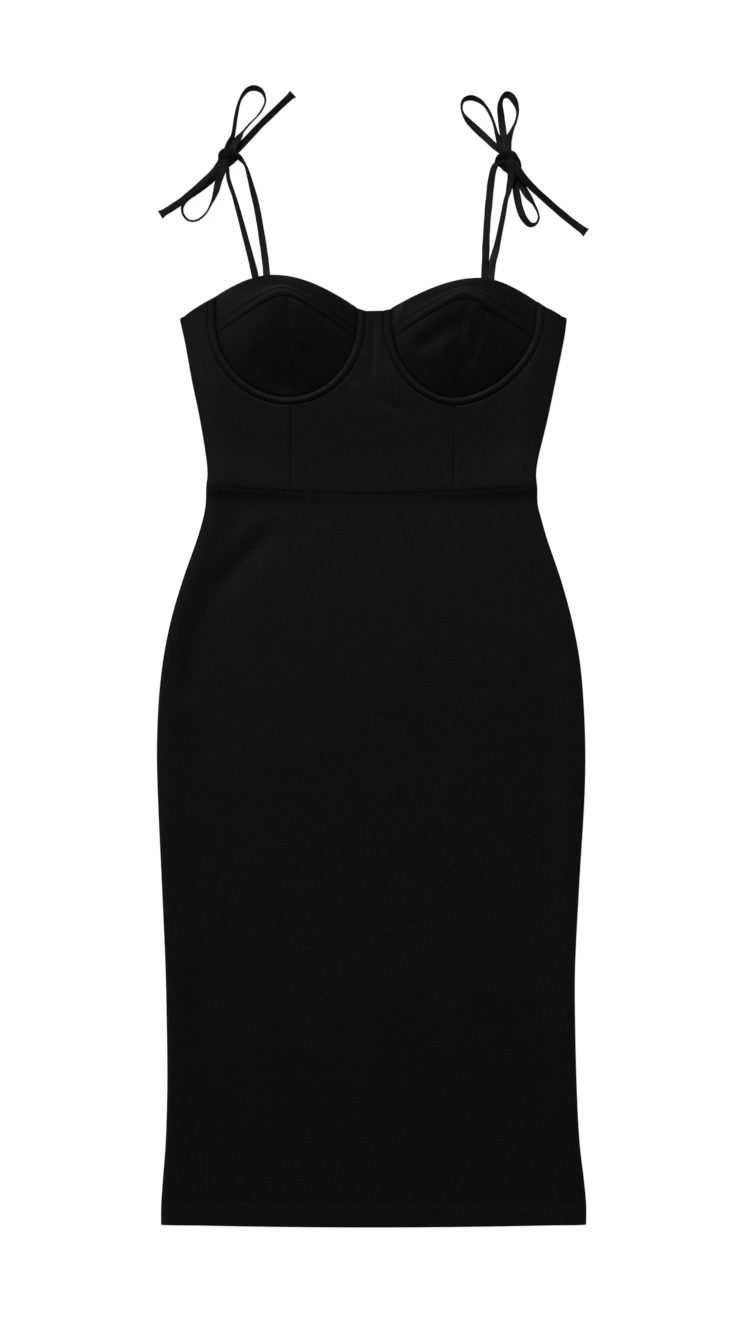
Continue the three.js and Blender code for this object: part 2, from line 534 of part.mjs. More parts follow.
// The cups: pieces inside the wire channel
function addCup(side, cup) {
  const trim = SEAM_GAP / 2;
  const inside = CHANNEL_WIDTH + trim;
  const ends = {
    bandLow: archEnds(cup, cup.bandLow),
    bandTop: archEnds(cup, cup.bandTop),
    neckline: archEnds(cup, cup.neckline),
  };
  for (const pair of Object.values(ends)) {
    pair[0] += trim;
    pair[1] -= trim;
  }
  const crest = (u) => Math.max(0, Math.sin(Math.PI * u)) ** 0.85;
  const seamHeight = (place, height, u) => mix(frontHeight(place.x, place.y), height, crest(u));
  const bandTop = (u) => {
    const place = onArch(cup.bandTop, ends.bandTop, cup.seamHead, u);
    return place.setZ(seamHeight(place, CUP_HEIGHT, u));
  };
  const bandLow = (u) => {
    const place = onArch(cup.bandLow, ends.bandLow, cup.seamHead, u);
    return place.setZ(seamHeight(place, CUP_HEIGHT - BAND_TILT, u));
  };
  const neckline = (u) => {
    const place = onArch(cup.neckline, ends.neckline, cup.seamHead, u);
    return place.setZ(seamHeight(place, CUP_EDGE_HEIGHT, u));
  };
  const footStart = channelAtHeight(cup, bandLow(0).y - 2, inside, true);
  const footEnd = channelAtHeight(cup, bandLow(1).y - 2, inside, false);
  const foot = (u) => {
    const t = u < 0.5 ? mix(footStart, cup.seamFoot, 2 * u) : mix(cup.seamFoot, footEnd, 2 * u - 1);
    const place = channelEdge(cup, t, inside);
    return place.setZ(frontHeight(place.x, place.y));
  };

  const lower = (u, v) => {
    const reach = trim / foot(u).distanceTo(bandLow(u));
    const start = foot(u);
    const place = start.clone().lerp(bandLow(u), mix(0, 1 - reach, v));
    const rise = 0.7 * Math.sin((v * Math.PI) / 2) + 0.3 * v;
    const top = bandLow(u).z;
    const folds = foldDepth(place.x, place.y) * soft(v, 0, 0.12) * (1 - soft(v, 0.9, 1));
    return place.setZ(mix(start.z, top, rise) - folds);
  };
  const half = even(STEPS.cupAcross / 2);
  const narrowest = 0.45 * (ends.bandLow[1] - ends.bandLow[0]);
  const seamTrim = trim / narrowest;
  const outerLeft = side === "left";
  const leftHalf = clothWall(half, even(STEPS.cupLowerAlong), (u, v) => lower(u * (0.5 - seamTrim), v));
  const rightHalf = clothWall(half, even(STEPS.cupLowerAlong), (u, v) => lower(mix(0.5 + seamTrim, 1, u), v));
  addPiece(`cup_lower_outer_${side}`, outerLeft ? leftHalf : rightHalf, CLOTH_FINISH);
  addPiece(`cup_lower_inner_${side}`, outerLeft ? rightHalf : leftHalf, CLOTH_FINISH);

  const band = (u, v) => {
    const [low, top] = [bandLow(u), bandTop(u)];
    const reach = trim / low.distanceTo(top);
    const t = mix(reach, 1 - reach, v);
    const place = low.lerp(top, t);
    return place.setZ(place.z + BAND_SWELL * Math.sin(Math.PI * v) * soft(crest(u), 0, 0.3));
  };
  addPiece(`cup_band_${side}`, clothWall(even(STEPS.cupAcross), even(STEPS.bandAlong), band), CLOTH_FINISH);

  const upper = (u, v) => {
    const [low, top] = [bandTop(u), neckline(u)];
    const reach = trim / Math.hypot(top.x - low.x, top.y - low.y);
    const place = low.clone().lerp(top, mix(reach, 1, v));
    const folds = foldDepth(place.x, place.y) * soft(v, 0, 0.15);
    return place.setZ(mix(top.z, low.z, Math.cos((v * Math.PI) / 2) ** 0.9) - folds);
  };
  const upperAlong = even(STEPS.cupUpperAlong).map((t) => 1 - (1 - t) ** 1.2);
  addPiece(`cup_upper_${side}`, clothWall(even(STEPS.cupAcross), upperAlong, upper), CLOTH_FINISH);

  const channel = (u, v) => {
    const innerEdge = channelEdge(cup, v, CHANNEL_WIDTH - trim);
    const outerEdge = channelEdge(cup, v, trim);
    const place = innerEdge.lerp(outerEdge, u);
    return place.setZ(frontHeight(place.x, place.y) + CHANNEL_SWELL * Math.sin(Math.PI * u) ** 0.7);
  };
  const channelWall = clothWall(even(STEPS.channelAcross), even(STEPS.channelLength), channel);
  addPiece(`cup_channel_${side}`, channelWall, CLOTH_FINISH);
}

// The bodice's edge up a princess seam and then up the outside of a cup's channel, to its left or right
function bodiceEdge(cup, toLeft) {
  const outward = toLeft ? -1 : 1;
  const footX = cup.princessFoot;
  const foot = point(footX + (outward * SEAM_GAP) / 2, waistSeam(footX) + SEAM_GAP / 2, 0);
  const turn = cup.princessHead + outward * PRINCESS_TRIM;
  const head = channelEdge(cup, turn, -SEAM_GAP / 2);
  const channelRows = STEPS.channelLength / 2;
  const seamShare = STEPS.princess / (STEPS.princess + channelRows);
  return (v) => {
    if (v < seamShare) return foot.clone().lerp(head, v / seamShare);
    const t = mix(turn, toLeft ? 0 : 1, (v - seamShare) / (1 - seamShare));
    return channelEdge(cup, t, -SEAM_GAP / 2);
  };
}

// Bends a bodice piece's straight lower edge to the waist seam: the shift in y at a height v up the piece
const waistBow = (onEdge, v) => (waistSeam(onEdge.x) + SEAM_GAP / 2 - onEdge.y) * (1 - soft(v, 0, 0.3));

// The side fronts: from the side seam to the princess seam and the outside of the channel
function addSideFront(side, cup) {
  const along = even(STEPS.princess + STEPS.channelLength / 2);
  const isLeft = side === "left";
  const inner = bodiceEdge(cup, isLeft);
  const outer = (v) => {
    const y = mix(WAIST + SEAM_GAP / 2, BUST_CORNER, v);
    return point(isLeft ? sides(y).left : sides(y).right, y, 0);
  };
  const roundShare = 0.4;
  const surface = (u, v) => {
    const [start, end] = [outer(v), inner(v)];
    const width = start.distanceTo(end);
    const past = (u - roundShare) / (1 - roundShare);
    const distance = past < 0 ? (u / roundShare) * SIDE_ROUND : mix(SIDE_ROUND, width, past);
    const share = distance / width;
    const place = start.clone().lerp(end, share);
    const y = place.y + waistBow(outer(0).lerp(inner(0), share), v);
    const seam = isLeft ? sides(y).left : sides(y).right;
    return onFront(place.x + (seam - start.x) * (1 - share) ** 2, y);
  };
  const stations = [
    ...even(STEPS.sideFrontRound).map((t) => t * roundShare),
    ...even(STEPS.sideFrontAcross).slice(1).map((t) => mix(roundShare, 1, t ** 1.3)),
  ];
  const wall = isLeft
    ? clothWall(stations, along, surface)
    : clothWall(stations.map((t) => 1 - t).reverse(), along, (u, v) => surface(1 - u, v));
  addPiece(`bodice_side_front_${side}`, wall, CLOTH_FINISH);
}

// The centre front: gore and midriff in one, between the princess seams and the two channels
function addCentreFront() {
  const along = even(STEPS.princess + STEPS.channelLength / 2);
  const leftEdge = bodiceEdge(CUPS.left, false);
  const rightEdge = bodiceEdge(CUPS.right, true);
  const surface = (u, v) => {
    const place = leftEdge(v).lerp(rightEdge(v), u);
    return onFront(place.x, place.y + waistBow(leftEdge(0).lerp(rightEdge(0), u), v));
  };
  addPiece("bodice_centre_front", clothWall(even(STEPS.centreAcross), along, surface), CLOTH_FINISH);
}

// The skirt: one piece in front and one behind, from the waist seam to the hem
function addSkirt() {
  const heightAt = (x, v, top) => mix(hemEdge(x), top, v);
  const front = (u, v) => {
    const level = sides(heightAt(0, v, WAIST));
    const x = mix(level.left, level.right, u);
    const y = heightAt(x, v, waistSeam(x) - SEAM_GAP / 2);
    const { left, right } = sides(y);
    return onFront(mix(left, right, u), y);
  };
  const across = acrossTube(STEPS.skirtMiddle);
  const along = even(STEPS.skirtAlong).map((t) => t ** 0.8);
  addPiece("skirt_front", clothWall(across, along, front), CLOTH_FINISH);
  const back = (u, v) => {
    const level = sides(heightAt(0, v, WAIST));
    const y = heightAt(mix(level.right, level.left, u), v, WAIST - SEAM_GAP / 2);
    const { left, right } = sides(y);
    return onBack(mix(right, left, u), y);
  };
  const backAcross = acrossTube(STEPS.skirtBackMiddle);
  addPiece("skirt_back", clothWall(backAcross, even(STEPS.skirtBackAlong), back), CLOTH_FINISH);
}

// The back of the bodice, in one piece, lower than the front
function addBodiceBack() {
  const foot = WAIST + SEAM_GAP / 2;
  const back = (u, v) => {
    const y = mix(foot, BACK_TOP, v);
    const { left, right } = sides(y);
    return onBack(mix(right, left, u), y);
  };
  addPiece("bodice_back", clothWall(acrossTube(STEPS.backMiddle), even(STEPS.backAlong), back), CLOTH_FINISH);
}

// Shapes go through a solid where one trims another
function asSolid(geometry) {
  const bare = geometry.clone();
  bare.deleteAttribute("normal");
  bare.deleteAttribute("uv");
  const merged = mergeVertices(bare, 1e-3);
  const vertProperties = merged.getAttribute("position").array;
  const triVerts = new Uint32Array(merged.index.array);
  return new solids.Manifold(new solids.Mesh({ numProp: 3, vertProperties, triVerts }));
}

function asGeometry(solid) {
  const mesh = solid.getMesh();
  const geometry = new THREE.BufferGeometry();
  geometry.setAttribute("position", new THREE.BufferAttribute(mesh.vertProperties, 3));
  geometry.setIndex(new THREE.BufferAttribute(mesh.triVerts, 1));
  geometry.computeVertexNormals();
  return geometry;
}

// A knot: a rounded lump with one turn of tape across it; grown by the seam's gap, it trims the tapes
function knotLump(knot, grow) {
  const geometry = new THREE.SphereGeometry(1, STEPS.knotAround, STEPS.knotHigh);
  const places = geometry.getAttribute("position");
  const turn = radians(knot.bandTurn);
  for (let i = 0; i < places.count; i++) {
    const ball = point(places.getX(i), -places.getZ(i), places.getY(i));
    const fromBand = Math.abs(ball.x * Math.sin(turn) + ball.y * Math.cos(turn));
    const swell = 1 + KNOT_BAND * (1 - soft(fromBand, 0.3, 0.5));
    const x = knot.x + ball.x * ((knot.width / 2) * swell + grow);
    const y = knot.y + ball.y * ((knot.length / 2) * swell + grow);
    const z = knot.height / 2 + ball.z * ((knot.height / 2) * swell + grow);
    places.setXYZ(i, x, y, Math.max(-grow, z));
  }
  geometry.computeVertexNormals();
  return geometry;
}

// A stretch of tape: a flat section carried along its points, turned as they say, and trimmed at its knot
function addTape(name, rows, knot) {
  const [w, t] = [TAPE_WIDTH / 2, TAPE_THICKNESS / 2];
  const corner = w - TAPE_CORNER;
  const upperHalf = [[w, -t / 2], [w, t / 2], [corner, t], [-corner, t]];
  const outline = [...upperHalf, ...upperHalf.map(([x, y]) => [-x, -y])];
  const section = new THREE.Shape(outline.map(([x, y]) => new THREE.Vector2(x, y)));
  const restHeight = (turn) => w * Math.abs(Math.sin(turn)) + t * Math.abs(Math.cos(turn));
  const stops = rows.map((row) => point(row.x, row.y, row.lift + restHeight(radians(row.turn))));
  const route = new THREE.CatmullRomCurve3(stops, false, "centripetal");
  const steps = Math.round((rows.length - 1) * STEPS.tapeRow);
  const geometry = new THREE.ExtrudeGeometry(section, { depth: 1, steps, bevelEnabled: false });
  const places = geometry.getAttribute("position");
  const isTail = name.endsWith("tail");
  for (let i = 0; i < places.count; i++) {
    const along = THREE.MathUtils.clamp(places.getZ(i), 0, 1);
    const row = Math.min(Math.floor(along * (rows.length - 1)), rows.length - 2);
    const share = along * (rows.length - 1) - row;
    const turn = radians(mix(rows[row].turn, rows[row + 1].turn, share));
    const place = route.getPoint(along);
    const tangent = route.getTangent(along);
    const up = point(0, 0, 1).addScaledVector(tangent, -tangent.z).normalize();
    const aside = up.clone().cross(tangent);
    const across = aside.clone().multiplyScalar(Math.cos(turn)).addScaledVector(up, Math.sin(turn));
    const through = up.multiplyScalar(Math.cos(turn)).addScaledVector(aside, -Math.sin(turn));
    const flare = isTail ? mix(1, TAIL_FLARE, soft(along, 0.9, 1)) : 1;
    place.addScaledVector(across, places.getX(i) * flare).addScaledVector(through, places.getY(i));
    places.setXYZ(i, place.x, place.y, Math.max(place.z, 0));
  }
  const trimmed = asSolid(geometry).subtract(asSolid(knotLump(knot, SEAM_GAP)));
  addPiece(name, asGeometry(trimmed), TAPE_FINISH);
}

addSkirt();
addBodiceBack();
addCentreFront();
for (const [side, cup] of Object.entries(CUPS)) {
  addSideFront(side, cup);
  addCup(side, cup);
}
for (const [side, knot] of Object.entries(KNOTS)) {
  for (const [name, rows] of Object.entries(TAPES[side])) addTape(`tie_${side}_${name}`, rows, knot);
  addPiece(`tie_${side}_knot`, knotLump(knot, 0), TAPE_FINISH);
}

export default dress;
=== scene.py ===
import math
import bpy
import numpy as np
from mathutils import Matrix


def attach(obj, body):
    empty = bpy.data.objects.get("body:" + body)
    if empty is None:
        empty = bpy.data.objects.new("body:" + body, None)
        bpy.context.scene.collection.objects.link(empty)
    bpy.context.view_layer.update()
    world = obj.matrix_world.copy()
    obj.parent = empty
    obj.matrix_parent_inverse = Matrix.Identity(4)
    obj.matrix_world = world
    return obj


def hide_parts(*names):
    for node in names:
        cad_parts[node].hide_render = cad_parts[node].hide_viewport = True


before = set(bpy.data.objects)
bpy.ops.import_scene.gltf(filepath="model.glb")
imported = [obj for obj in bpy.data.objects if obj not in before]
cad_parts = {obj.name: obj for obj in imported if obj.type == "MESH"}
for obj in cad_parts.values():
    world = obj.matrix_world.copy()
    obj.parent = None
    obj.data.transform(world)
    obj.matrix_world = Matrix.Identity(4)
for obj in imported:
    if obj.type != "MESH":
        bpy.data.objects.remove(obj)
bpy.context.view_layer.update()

# The camera hangs over the dress and looks straight down at it, through a long lens.
# It takes in 754 by 1342 mm of the surface that the dress is laid on.
PICTURE_HEIGHT = 1.342
PICTURE_MIDDLE = (0.0054, 0.0790)
CAMERA_HEIGHT = 3.6
lens = bpy.data.cameras.new("camera")
lens.lens = lens.sensor_width * CAMERA_HEIGHT / PICTURE_HEIGHT
camera = bpy.data.objects.new("camera", lens)
camera.location = (*PICTURE_MIDDLE, CAMERA_HEIGHT)
bpy.context.scene.collection.objects.link(camera)
bpy.context.scene.camera = camera
bpy.context.scene.view_settings.view_transform = "Standard"

# The ties are narrow tubes of the dress's own black knit, turned right side out and pressed flat.
# Each strap leaves the dress as one tape, and the two of a side are knotted in a bow that lies loose.
TAPE_WIDTH = 0.0074
TAPE_THICKNESS = 0.0017
TAPE_RING = 0.0012  # between two rings of a tape's mesh
TAPE_SIDES = 16
TAPE_SQUARENESS = 0.5  # 1 is an oval section, and less is flatter
MOST_TURNED = 79  # degrees: a tape that stands on edge still leans a little
TAIL_FLARE = 1.35  # a cut end opens to this share of the width
TAIL_FLARE_LENGTH = 0.007
LEAST_HEIGHT = 0.0001  # no tape lies lower over the surface
CLOUD_SIZE = 0.055  # of the faint lighter and darker places in the knit
SHARP_TURN = 50  # degrees, from which an edge isn't shaded as round
# Each row: x, y, lift over the surface, and the turn in degrees from flat to on edge
TAPES = {
    "left": {
        "front_strap": [
            (-0.1408, 0.5948, 0.0054, 16), (-0.1334, 0.5926, 0.0026, 44), (-0.1266, 0.585, 0.001, 74),
            (-0.1232, 0.5755, 0, 63), (-0.1195, 0.5616, 0, 48), (-0.1154, 0.5456, 0, 36),
            (-0.1124, 0.53, 0, 32), (-0.1086, 0.5062, 0.001, 28), (-0.1059, 0.487, 0.0046, 18),
            (-0.105, 0.478, 0.0064, 6), (-0.1045, 0.4714, 0.0094, 8), (-0.1043, 0.4674, 0.0152, 10),
            (-0.1042, 0.465, 0.0182, 10),
        ],
        "back_strap": [
            (-0.1442, 0.59, 0.002, 66), (-0.144, 0.581, 0.001, 64), (-0.1429, 0.57, 0, 60),
            (-0.1379, 0.5549, 0, 61), (-0.1323, 0.5355, 0, 53), (-0.1267, 0.5145, 0, 42),
            (-0.1211, 0.4935, 0, 38), (-0.1164, 0.474, 0, 14), (-0.1136, 0.456, 0, 6),
            (-0.1124, 0.44, 0, 0), (-0.1119, 0.428, 0.0015, 0), (-0.1117, 0.418, 0.0016, 0),
            (-0.1117, 0.404, 0.0016, 0),
        ],
        "upper_loop": [
            (-0.145, 0.598, 0.002, 30), (-0.142, 0.6054, 0.0004, 30), (-0.1388, 0.613, 0, 60),
            (-0.1374, 0.62, 0, 66), (-0.1353, 0.634, 0, 68), (-0.1315, 0.649, 0, 84),
            (-0.1246, 0.659, 0, 63), (-0.1173, 0.6615, 0, 50), (-0.1104, 0.6588, 0, 61),
            (-0.1068, 0.653, 0, 84), (-0.1065, 0.6463, 0, 88), (-0.1123, 0.6356, 0, 82),
            (-0.1222, 0.6252, 0, 80), (-0.1292, 0.6168, 0.0006, 68), (-0.132, 0.6126, 0.002, 40),
            (-0.1366, 0.605, 0.0032, 18), (-0.1404, 0.597, 0.0042, 16),
        ],
        "lower_loop": [
            (-0.147, 0.592, 0.006, 10), (-0.1482, 0.5845, 0.005, 8), (-0.1496, 0.5766, 0.0048, 6),
            (-0.153, 0.568, 0.0016, 8), (-0.1553, 0.5587, 0, 33), (-0.1575, 0.552, 0, 58),
            (-0.1602, 0.546, 0, 73), (-0.1656, 0.5362, 0, 85), (-0.1746, 0.5292, 0, 73),
            (-0.1828, 0.5293, 0, 76), (-0.1882, 0.5352, 0, 87), (-0.189, 0.542, 0.001, 84),
            (-0.185, 0.549, 0.002, 74), (-0.1764, 0.5556, 0.0022, 66), (-0.1674, 0.5622, 0.0022, 60),
            (-0.1604, 0.569, 0.0022, 40), (-0.1556, 0.576, 0.0021, 14), (-0.151, 0.584, 0.0021, 6),
            (-0.147, 0.592, 0.0032, 4),
        ],
        "upper_tail": [
            (-0.139, 0.596, 0.001, 12), (-0.1334, 0.6014, 0.0006, 12), (-0.126, 0.6089, 0, 18),
            (-0.111, 0.6246, 0, 39), (-0.0978, 0.6374, 0, 36), (-0.088, 0.6469, 0, 30),
            (-0.0786, 0.656, 0, 0),
        ],
        "lower_tail": [
            (-0.147, 0.5926, 0.0006, 0), (-0.1522, 0.585, 0.0001, 0), (-0.1584, 0.577, 0, 0),
            (-0.1724, 0.5636, 0, 0), (-0.1874, 0.5506, 0, 0), (-0.2003, 0.5418, 0, 0),
            (-0.2114, 0.535, 0, 0),
        ],
    },
    "right": {
        "front_strap": [
            (0.1388, 0.5898, 0.0102, 0), (0.139, 0.583, 0.0096, 4), (0.139, 0.573, 0.006, 20),
            (0.1377, 0.563, 0.0024, 34), (0.1362, 0.556, 0.0006, 52), (0.1342, 0.5497, 0, 58),
            (0.1312, 0.5331, 0, 50),
            (0.128, 0.5171, 0, 46), (0.1246, 0.5011, 0.0015, 30), (0.1209, 0.4872, 0.0042, 6),
            (0.1192, 0.4736, 0.0068, 0), (0.1192, 0.467, 0.0102, -6), (0.1194, 0.463, 0.015, -10),
            (0.119, 0.4604, 0.0176, -10),
        ],
        "back_strap": [
            (0.133, 0.588, 0.003, 60), (0.127, 0.5872, 0.002, 54), (0.1223, 0.5814, 0.001, 32),
            (0.1196, 0.5691, 0, 8), (0.1179, 0.5537, 0, 8), (0.1157, 0.53, 0, 20), (0.1145, 0.509, 0, 10),
            (0.1138, 0.488, 0, 0), (0.1127, 0.47, 0, 0), (0.1108, 0.444, 0, 0), (0.1098, 0.428, 0.0015, 0),
            (0.1096, 0.418, 0.0016, 0), (0.1096, 0.404, 0.0016, 0),
        ],
        "side_loop": [
            (0.131, 0.596, 0.0016, 50), (0.1234, 0.603, 0.0006, 26), (0.1142, 0.612, 0, 6),
            (0.104, 0.6214, 0, 12), (0.0955, 0.6298, 0, 46), (0.0909, 0.6372, 0, 74),
            (0.0899, 0.6438, 0, 88), (0.0922, 0.6494, 0, 68), (0.0994, 0.6517, 0, 52),
            (0.108, 0.6485, 0, 64), (0.1138, 0.643, 0, 78), (0.1183, 0.6357, 0, 86), (0.1222, 0.626, 0, 86),
            (0.1246, 0.617, 0, 70), (0.1276, 0.608, 0.0002, 40), (0.1296, 0.6004, 0.0006, 30),
            (0.1314, 0.593, 0.001, 40),
        ],
        "upper_loop": [
            (0.1364, 0.592, 0.005, 30), (0.134, 0.601, 0.004, 10), (0.1322, 0.611, 0.0029, 4),
            (0.131, 0.62, 0.0012, 2), (0.1293, 0.634, 0, 14), (0.1285, 0.645, 0, 50),
            (0.1314, 0.6529, 0, 62), (0.1364, 0.655, 0, 10), (0.1411, 0.6514, 0, 18),
            (0.1449, 0.6434, 0, 60), (0.1458, 0.6364, 0, 75), (0.1441, 0.628, 0, 84), (0.1406, 0.62, 0, 66),
            (0.1372, 0.611, 0.0002, 34), (0.1366, 0.601, 0.0006, 30), (0.1376, 0.592, 0.002, 60),
        ],
        "lower_loop": [
            (0.1408, 0.583, 0.002, 60), (0.1424, 0.5736, 0.0002, 40), (0.1438, 0.565, 0, 10),
            (0.1452, 0.555, 0, 6), (0.1475, 0.5437, 0, 8), (0.1515, 0.5327, 0, 34), (0.158, 0.5251, 0, 52),
            (0.1638, 0.5256, 0, 78), (0.167, 0.5314, 0, 86), (0.1657, 0.5379, 0, 78),
            (0.1616, 0.546, 0, 63), (0.1554, 0.5550, 0, 22), (0.1504, 0.564, 0.0004, 8),
            (0.1470, 0.573, 0.0014, 14), (0.1430, 0.583, 0.0016, 40),
        ],
        "tail": [
            (0.141, 0.5874, 0.008, 10), (0.1462, 0.5786, 0.0082, 10), (0.1526, 0.5704, 0.0068, 10),
            (0.16, 0.5624, 0.004, 12), (0.1695, 0.5539, 0.0006, 34), (0.1844, 0.5408, 0, 26),
            (0.1983, 0.5294, 0, 8), (0.2146, 0.5172, 0, 0),
        ],
    },
}


class Wire:
    """A socket in a material: arithmetic on it adds Math nodes, and `node` adds any other."""

    def __init__(self, tree, socket=None):
        self.tree = tree
        self.socket = socket

    def node(self, kind, settings=None, sockets=None, out=0):
        made = self.tree.nodes.new("ShaderNode" + kind)
        for name, value in (settings or {}).items():
            setattr(made, name, value)
        for name, value in (sockets or {}).items():
            if isinstance(value, Wire):
                self.tree.links.new(value.socket, made.inputs[name])
            else:
                made.inputs[name].default_value = value
        return Wire(self.tree, made.outputs[out] if len(made.outputs) else None)

    def math(self, operation, first, second=0.0):
        return self.node("Math", {"operation": operation}, {0: first, 1: second})

    def __add__(self, other):
        return self.math("ADD", self, other)

    def __sub__(self, other):
        return self.math("SUBTRACT", self, other)

    def __rsub__(self, other):
        return self.math("SUBTRACT", other, self)

    def __mul__(self, other):
        return self.math("MULTIPLY", self, other)

    __radd__ = __add__
    __rmul__ = __mul__


def black_knit(name, dark, light, shine, grain, wale):
    """Black knit: flecked at the size of its grain, with fine wales and courses, and nearly matt."""
    material = bpy.data.materials.new(name)
    material.use_nodes = True
    material.node_tree.nodes.clear()
    start = Wire(material.node_tree)
    place = start.node("TexCoord", out=3)  # the object's own coordinates
    flat = start.node("UVMap")
    across = start.node("SeparateXYZ", sockets={0: flat}, out=0)
    along = start.node("SeparateXYZ", sockets={0: flat}, out=1)
    noise = {"Vector": place, "Detail": 2.0, "Roughness": 0.6}
    fleck = start.node("TexNoise", sockets={**noise, "Scale": 1 / grain}) - 0.5
    fibre = start.node("TexNoise", sockets={**noise, "Scale": 3 / grain}) - 0.5
    cloud = start.node("TexNoise", sockets={**noise, "Scale": 1 / CLOUD_SIZE}) - 0.5
    rib = start.math("SINE", across * (2 * math.pi / wale) + fleck * 2)
    course = start.math("SINE", along * (2.5 * math.pi / wale) + fibre * 2)
    loops = rib * 0.35 + course * 0.2 + fleck * 2.2 + fibre * 1.4
    tone = loops * 0.9 + cloud * 0.6 + 0.5
    colour = start.node(
        "Mix", {"data_type": "RGBA"}, {0: tone, 6: (*dark, 1), 7: (*light, 1)}, out=2
    )
    bump = start.node("Bump", sockets={"Height": loops, "Distance": 0.00015, "Strength": 0.9})
    surface = start.node("BsdfPrincipled", sockets={
        "Base Color": colour, "Normal": bump, "Roughness": 0.5 + fleck * 0.2,
        "Specular IOR Level": shine, "Sheen Weight": 0.03, "Sheen Roughness": 0.4,
    })
    start.node("OutputMaterial", sockets={"Surface": surface})
    return material


tape_dark, tape_light = (0.0100, 0.0096, 0.0098), (0.0320, 0.0308, 0.0314)
tape_finish = black_knit("tape_knit", tape_dark, tape_light, 0.3, 0.0019, 0.0009)


def smooth(places, values, at):
    """A smooth line through values at rising places, read at other places."""
    places, values, at = (np.asarray(part, float) for part in (places, values, at))
    order = np.arange(len(places))
    after, before = np.minimum(order + 1, order[-1]), np.maximum(order - 1, 0)
    slopes = (values[after] - values[before]) / (places[after] - places[before])[:, None]
    k = np.clip(np.searchsorted(places, at, side="right") - 1, 0, order[-1] - 1)
    span = (places[k + 1] - places[k])[..., None]
    t = np.clip((at - places[k])[..., None] / span, 0, 1)
    held = (1 + 2 * t) * (1 - t) ** 2 * values[k] + t * t * (3 - 2 * t) * values[k + 1]
    return held + span * (t * (1 - t) ** 2 * slopes[k] - t * t * (1 - t) * slopes[k + 1])


def mix(start, end, share):
    return start + (end - start) * share


def unit(vectors):
    return vectors / np.maximum(np.linalg.norm(vectors, axis=-1, keepdims=True), 1e-12)


def tape_form(rows, flared=False):
    """A pressed tube of tape along its rows: points, faces, flat places, and its centre line."""
    rows = np.array(rows, float)
    turn = np.radians(np.minimum(rows[:, 3], MOST_TURNED))
    wide, thick = TAPE_WIDTH / 2, TAPE_THICKNESS / 2
    height = rows[:, 2] + wide * np.abs(np.sin(turn)) + thick * np.abs(np.cos(turn))
    stops = np.column_stack([rows[:, :2], height, turn])
    gone = np.linalg.norm(np.diff(stops[:, :3], axis=0), axis=1)
    places = np.concatenate([[0], np.cumsum(gone)])
    at = np.linspace(0, places[-1], int(places[-1] / TAPE_RING) + 1)
    line = smooth(places, stops, at)
    centre, turn = line[:, :3], line[:, 3:]
    ahead = unit(np.gradient(centre, axis=0))
    up = unit(np.array([0, 0, 1.0]) - ahead * ahead[:, 2:])
    aside = np.cross(up, ahead)
    across = aside * np.cos(turn) + up * np.sin(turn)
    through = up * np.cos(turn) - aside * np.sin(turn)
    opened = np.clip(1 - (places[-1] - at) / TAIL_FLARE_LENGTH, 0, 1) ** 2 if flared else 0 * at
    breathing = 1 + 0.05 * np.sin(at / 0.0047) * np.sin(at / 0.0113)  # no tape is quite even
    width = wide * breathing * (1 + (TAIL_FLARE - 1) * opened)
    depth = thick * (1 + 0.1 * np.sin(at / 0.0031)) * (1 - 0.35 * opened)
    angle = np.arange(TAPE_SIDES) / TAPE_SIDES * 2 * math.pi - math.pi / 2
    flatten = lambda side: np.sign(side) * np.abs(side) ** TAPE_SQUARENESS
    points = (
        centre[:, None]
        + across[:, None] * (width[:, None] * flatten(np.cos(angle)))[..., None]
        + through[:, None] * (depth[:, None] * flatten(np.sin(angle)))[..., None]
    )
    points[..., 2] = np.maximum(points[..., 2], LEAST_HEIGHT)
    ring, j = np.meshgrid(np.arange(len(at) - 1) * TAPE_SIDES, np.arange(TAPE_SIDES), indexing="ij")
    following = (j + 1) % TAPE_SIDES
    quads = np.stack([ring + j, ring + following, ring + TAPE_SIDES + following, ring + TAPE_SIDES + j], -1)
    end = (len(at) - 1) * TAPE_SIDES
    caps = [list(range(TAPE_SIDES))[::-1], list(range(end, end + TAPE_SIDES))]
    flat = np.stack(np.broadcast_arrays(angle[None] * TAPE_WIDTH / 3, at[:, None]), -1)
    return points.reshape(-1, 3), quads.reshape(-1, 4).tolist() + caps, flat.reshape(-1, 2), centre


def make_piece(name, forms, material):
    """One object made of one or more forms of points, faces and flat places."""
    points, faces, flat = [], [], []
    for form in forms:
        first = sum(len(part) for part in points)
        points.append(form[0])
        faces += [[first + corner for corner in face] for face in form[1]]
        flat.append(form[2])
    mesh = bpy.data.meshes.new(name)
    mesh.from_pydata(np.concatenate(points).tolist(), [], faces)
    corners = np.empty(len(mesh.loops), dtype=np.int32)
    mesh.loops.foreach_get("vertex_index", corners)
    layer = mesh.uv_layers.new(name="flat")
    layer.data.foreach_set("uv", np.concatenate(flat)[corners].ravel())
    mesh.polygons.foreach_set("use_smooth", np.ones(len(mesh.polygons), dtype=bool))
    mesh.set_sharp_from_angle(angle=math.radians(SHARP_TURN))
    mesh.materials.append(material)
    piece = bpy.data.objects.new(name, mesh)
    bpy.context.scene.collection.objects.link(piece)
    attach(piece, "root")
    return piece


